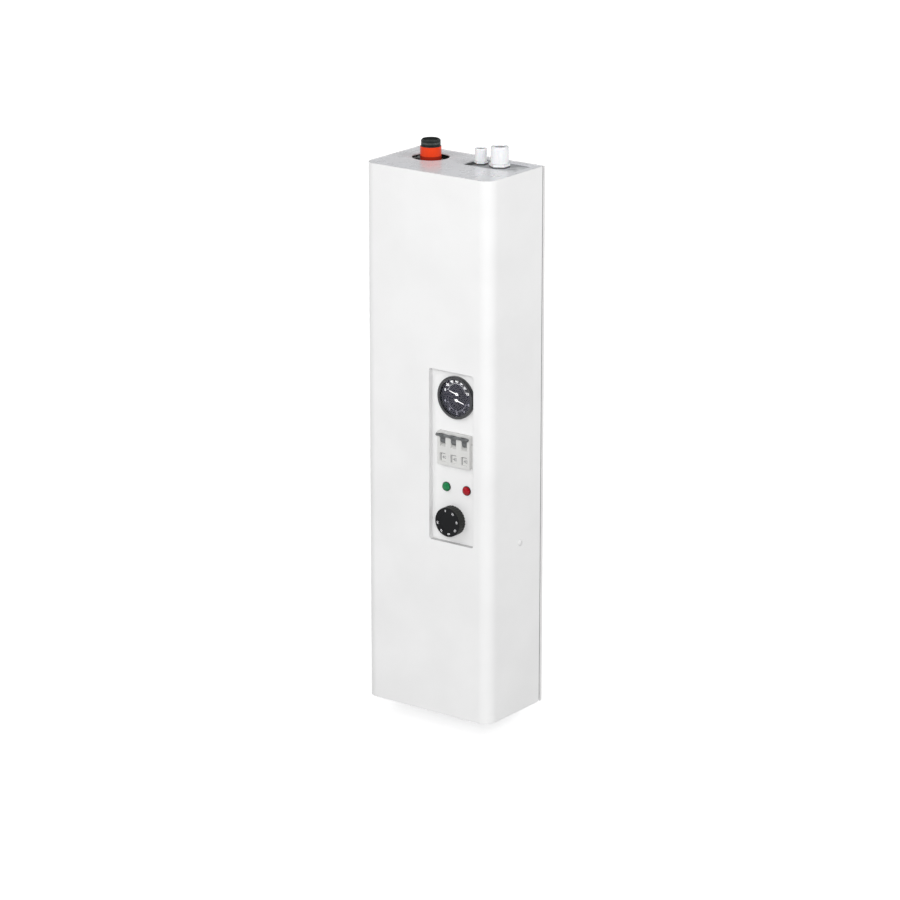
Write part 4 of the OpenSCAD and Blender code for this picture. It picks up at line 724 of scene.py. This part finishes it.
def crossScrew(side):
    # A dome z = sqrt(domeR ^ 2 - r ^ 2) over its rim, less a cross-shaped dip that is slotDepth deep in the
    # middle and fades at the ends of its arms, closed below by the flat of the head and the shank.
    p = screws
    angle = np.linspace(0, 2 * np.pi, p["around"], endpoint=False)
    slotEnd = p["slotR"] + p["slotMargin"]
    slotRadii = np.linspace(p["poleR"], slotEnd, p["slotRings"])
    rimRadii = np.linspace(slotEnd + p["ringStep"], p["headR"], p["rimRings"])
    r, a = np.meshgrid(np.concatenate([slotRadii, rimRadii]), angle, indexing="ij")
    x = r * np.cos(a)
    y = r * np.sin(a)
    dome = np.sqrt(p["domeR"] ** 2 - r ** 2) - p["domeR"] + p["headH"]
    arm = np.minimum(np.abs(x), np.abs(y))
    reach = np.maximum(np.abs(x), np.abs(y))
    flank = np.clip((p["slotW"] / 2 + p["flankEdge"] - arm) / p["flankWidth"], 0, 1)
    dip = flank * np.clip((p["slotR"] - reach) / p["slotRun"], 0, 1)
    top = np.stack([x, y, dome - p["slotDepth"] * dip * (1 - p["slotRise"] * reach / p["slotR"])], -1)
    belowR = np.array([p["headR"], p["shankR"], p["shankR"], p["poleR"]])
    belowZ = np.array([0.0, 0.0, -p["shankL"], -p["shankL"]])
    below = np.stack([np.outer(belowR, np.cos(angle)), np.outer(belowR, np.sin(angle)),
                      np.outer(belowZ, np.ones_like(angle))], -1)
    grid = np.concatenate([top, below])
    placed = [side * (p["x"] + grid[..., 2]), p["y"] + grid[..., 0], p["z"] + side * grid[..., 1]]
    return np.stack(placed, -1).reshape(-1, 3) * mm, gridFaces(len(grid), len(angle), closeColumns=True)


screwVerts, screwFaces = mergeParts([crossScrew(1), crossScrew(-1)])
heads = addPiece("crossHeadCoverScrews", screwVerts, screwFaces, looks["screw_white"],
                 sharpAngle=30)
fixOutside(heads)
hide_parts("cover_screws")
print("cover screws made")


# Studio floor and sky, with distances in metres

studio = {"floorHalf": 30.0, "floorShade": 0.43, "floorLift": 0.76, "liftFrom": 0.7, "liftTo": 4.0,
          "skyLight": 0.35}

h = studio["floorHalf"]
floorMesh = bpy.data.meshes.new("studioFloor")
floorMesh.from_pydata([(x, y, cadLow.z) for x, y in ((-h, -h), (h, -h), (h, h), (-h, h))], [], [(0, 1, 2, 3)])
floor = bpy.data.objects.new("studioFloor", floorMesh)
bpy.context.scene.collection.objects.link(floor)

# matt floor paint that also glows to the camera and to mirrors, up to plain white 4 m away
floorPaint = bpy.data.materials.new("studioFloorPaint")
floorPaint.use_nodes = True
tree = floorPaint.node_tree
tree.nodes.remove(tree.nodes["Principled BSDF"])
shade = studio["floorShade"]
diffuse = addNode(tree, "ShaderNodeBsdfDiffuse", {"Color": (shade, shade, shade, 1)})
cameraRay = addNode(tree, "ShaderNodeLightPath", output="Is Camera Ray")
glossyRay = addNode(tree, "ShaderNodeLightPath", output="Is Glossy Ray")
seen = addNode(tree, "ShaderNodeMath", {0: cameraRay, 1: glossyRay}, operation="MAXIMUM")
spot = addNode(tree, "ShaderNodeTexCoord", output="Object")
away = addNode(tree, "ShaderNodeVectorMath", {0: spot}, "Value", operation="LENGTH")
lift = addNode(tree, "ShaderNodeMapRange", {
    "Value": away, "From Min": studio["liftFrom"], "From Max": studio["liftTo"],
    "To Min": studio["floorLift"]})
strength = addNode(tree, "ShaderNodeMath", {0: seen, 1: lift}, operation="MULTIPLY")
glow = addNode(tree, "ShaderNodeEmission", {"Strength": strength})
both = addNode(tree, "ShaderNodeAddShader", {0: diffuse, 1: glow})
tree.links.new(both, tree.nodes["Material Output"].inputs["Surface"])
floorMesh.materials.append(floorPaint)

# a sky that is white to the camera and through glass, and dimmer as a light
world = bpy.data.worlds.new("studioSky")
bpy.context.scene.world = world
world.use_nodes = True
tree = world.node_tree
background = tree.nodes["Background"]
background.inputs["Color"].default_value = (1, 1, 1, 1)
cameraRay = addNode(tree, "ShaderNodeLightPath", output="Is Camera Ray")
throughRay = addNode(tree, "ShaderNodeLightPath", output="Is Transmission Ray")
seen = addNode(tree, "ShaderNodeMath", {0: cameraRay, 1: throughRay}, operation="MAXIMUM")
brightness = addNode(tree, "ShaderNodeMapRange", {"Value": seen, "To Min": studio["skyLight"]})
tree.links.new(brightness, background.inputs["Strength"])


# Soft boxes: place, aim and edge length in metres, watts, and whether glossy surfaces mirror them

lamps = {
    "keyBox": {"place": (-0.8, -1.6, 1.5), "aim": (0, 0, 0.05), "size": 1.2, "power": 12.6, "mirrored": True},
    "cornerBox": {"place": (3.1, -4.3, 1.9), "aim": (0.08, -0.1, 0), "size": 1.5, "power": 174,
                  "mirrored": False},
    "sideBox": {"place": (1.55, 0.3, 1.35), "aim": (0, 0, 0), "size": 0.8, "power": 10.3, "mirrored": True},
    "rearBox": {"place": (-1.8, 2.6, 1.3), "aim": (0, 0, 0), "size": 1.6, "power": 34, "mirrored": False},
}


def facing(place, direction):
    # stands at a place and looks along a direction, with its upper side up
    return Matrix.Translation(place) @ direction.to_track_quat("-Z", "Y").to_matrix().to_4x4()


for name, lamp in lamps.items():
    light = bpy.data.lights.new(name, "AREA")
    light.shape = "SQUARE"
    light.size = lamp["size"]
    light.energy = lamp["power"]
    box = bpy.data.objects.new(name, light)
    bpy.context.scene.collection.objects.link(box)
    box.visible_glossy = lamp["mirrored"]
    box.matrix_world = facing(lamp["place"], Vector(lamp["aim"]) - Vector(lamp["place"]))


# Camera: place in metres, angles in radians, focal length in pixels of a picture 900 pixels wide

view = {"place": (2.8763, -3.9327, 1.4596), "yaw": -0.6401, "pitch": math.radians(-17.05), "focal": 3791.8,
        "pictureWidth": 900, "sensor": 36.0}
camera = bpy.data.cameras.new("photoCamera")
camera.sensor_width = view["sensor"]
camera.lens = view["focal"] / view["pictureWidth"] * view["sensor"]
cameraHolder = bpy.data.objects.new("photoCamera", camera)
bpy.context.scene.collection.objects.link(cameraHolder)
flat = math.cos(view["pitch"])
ahead = Vector((math.sin(view["yaw"]) * flat, math.cos(view["yaw"]) * flat, math.sin(view["pitch"])))
cameraHolder.matrix_world = facing(view["place"], ahead)
bpy.context.scene.camera = cameraHolder
bpy.context.scene.view_settings.view_transform = "Standard"
print("studio set")
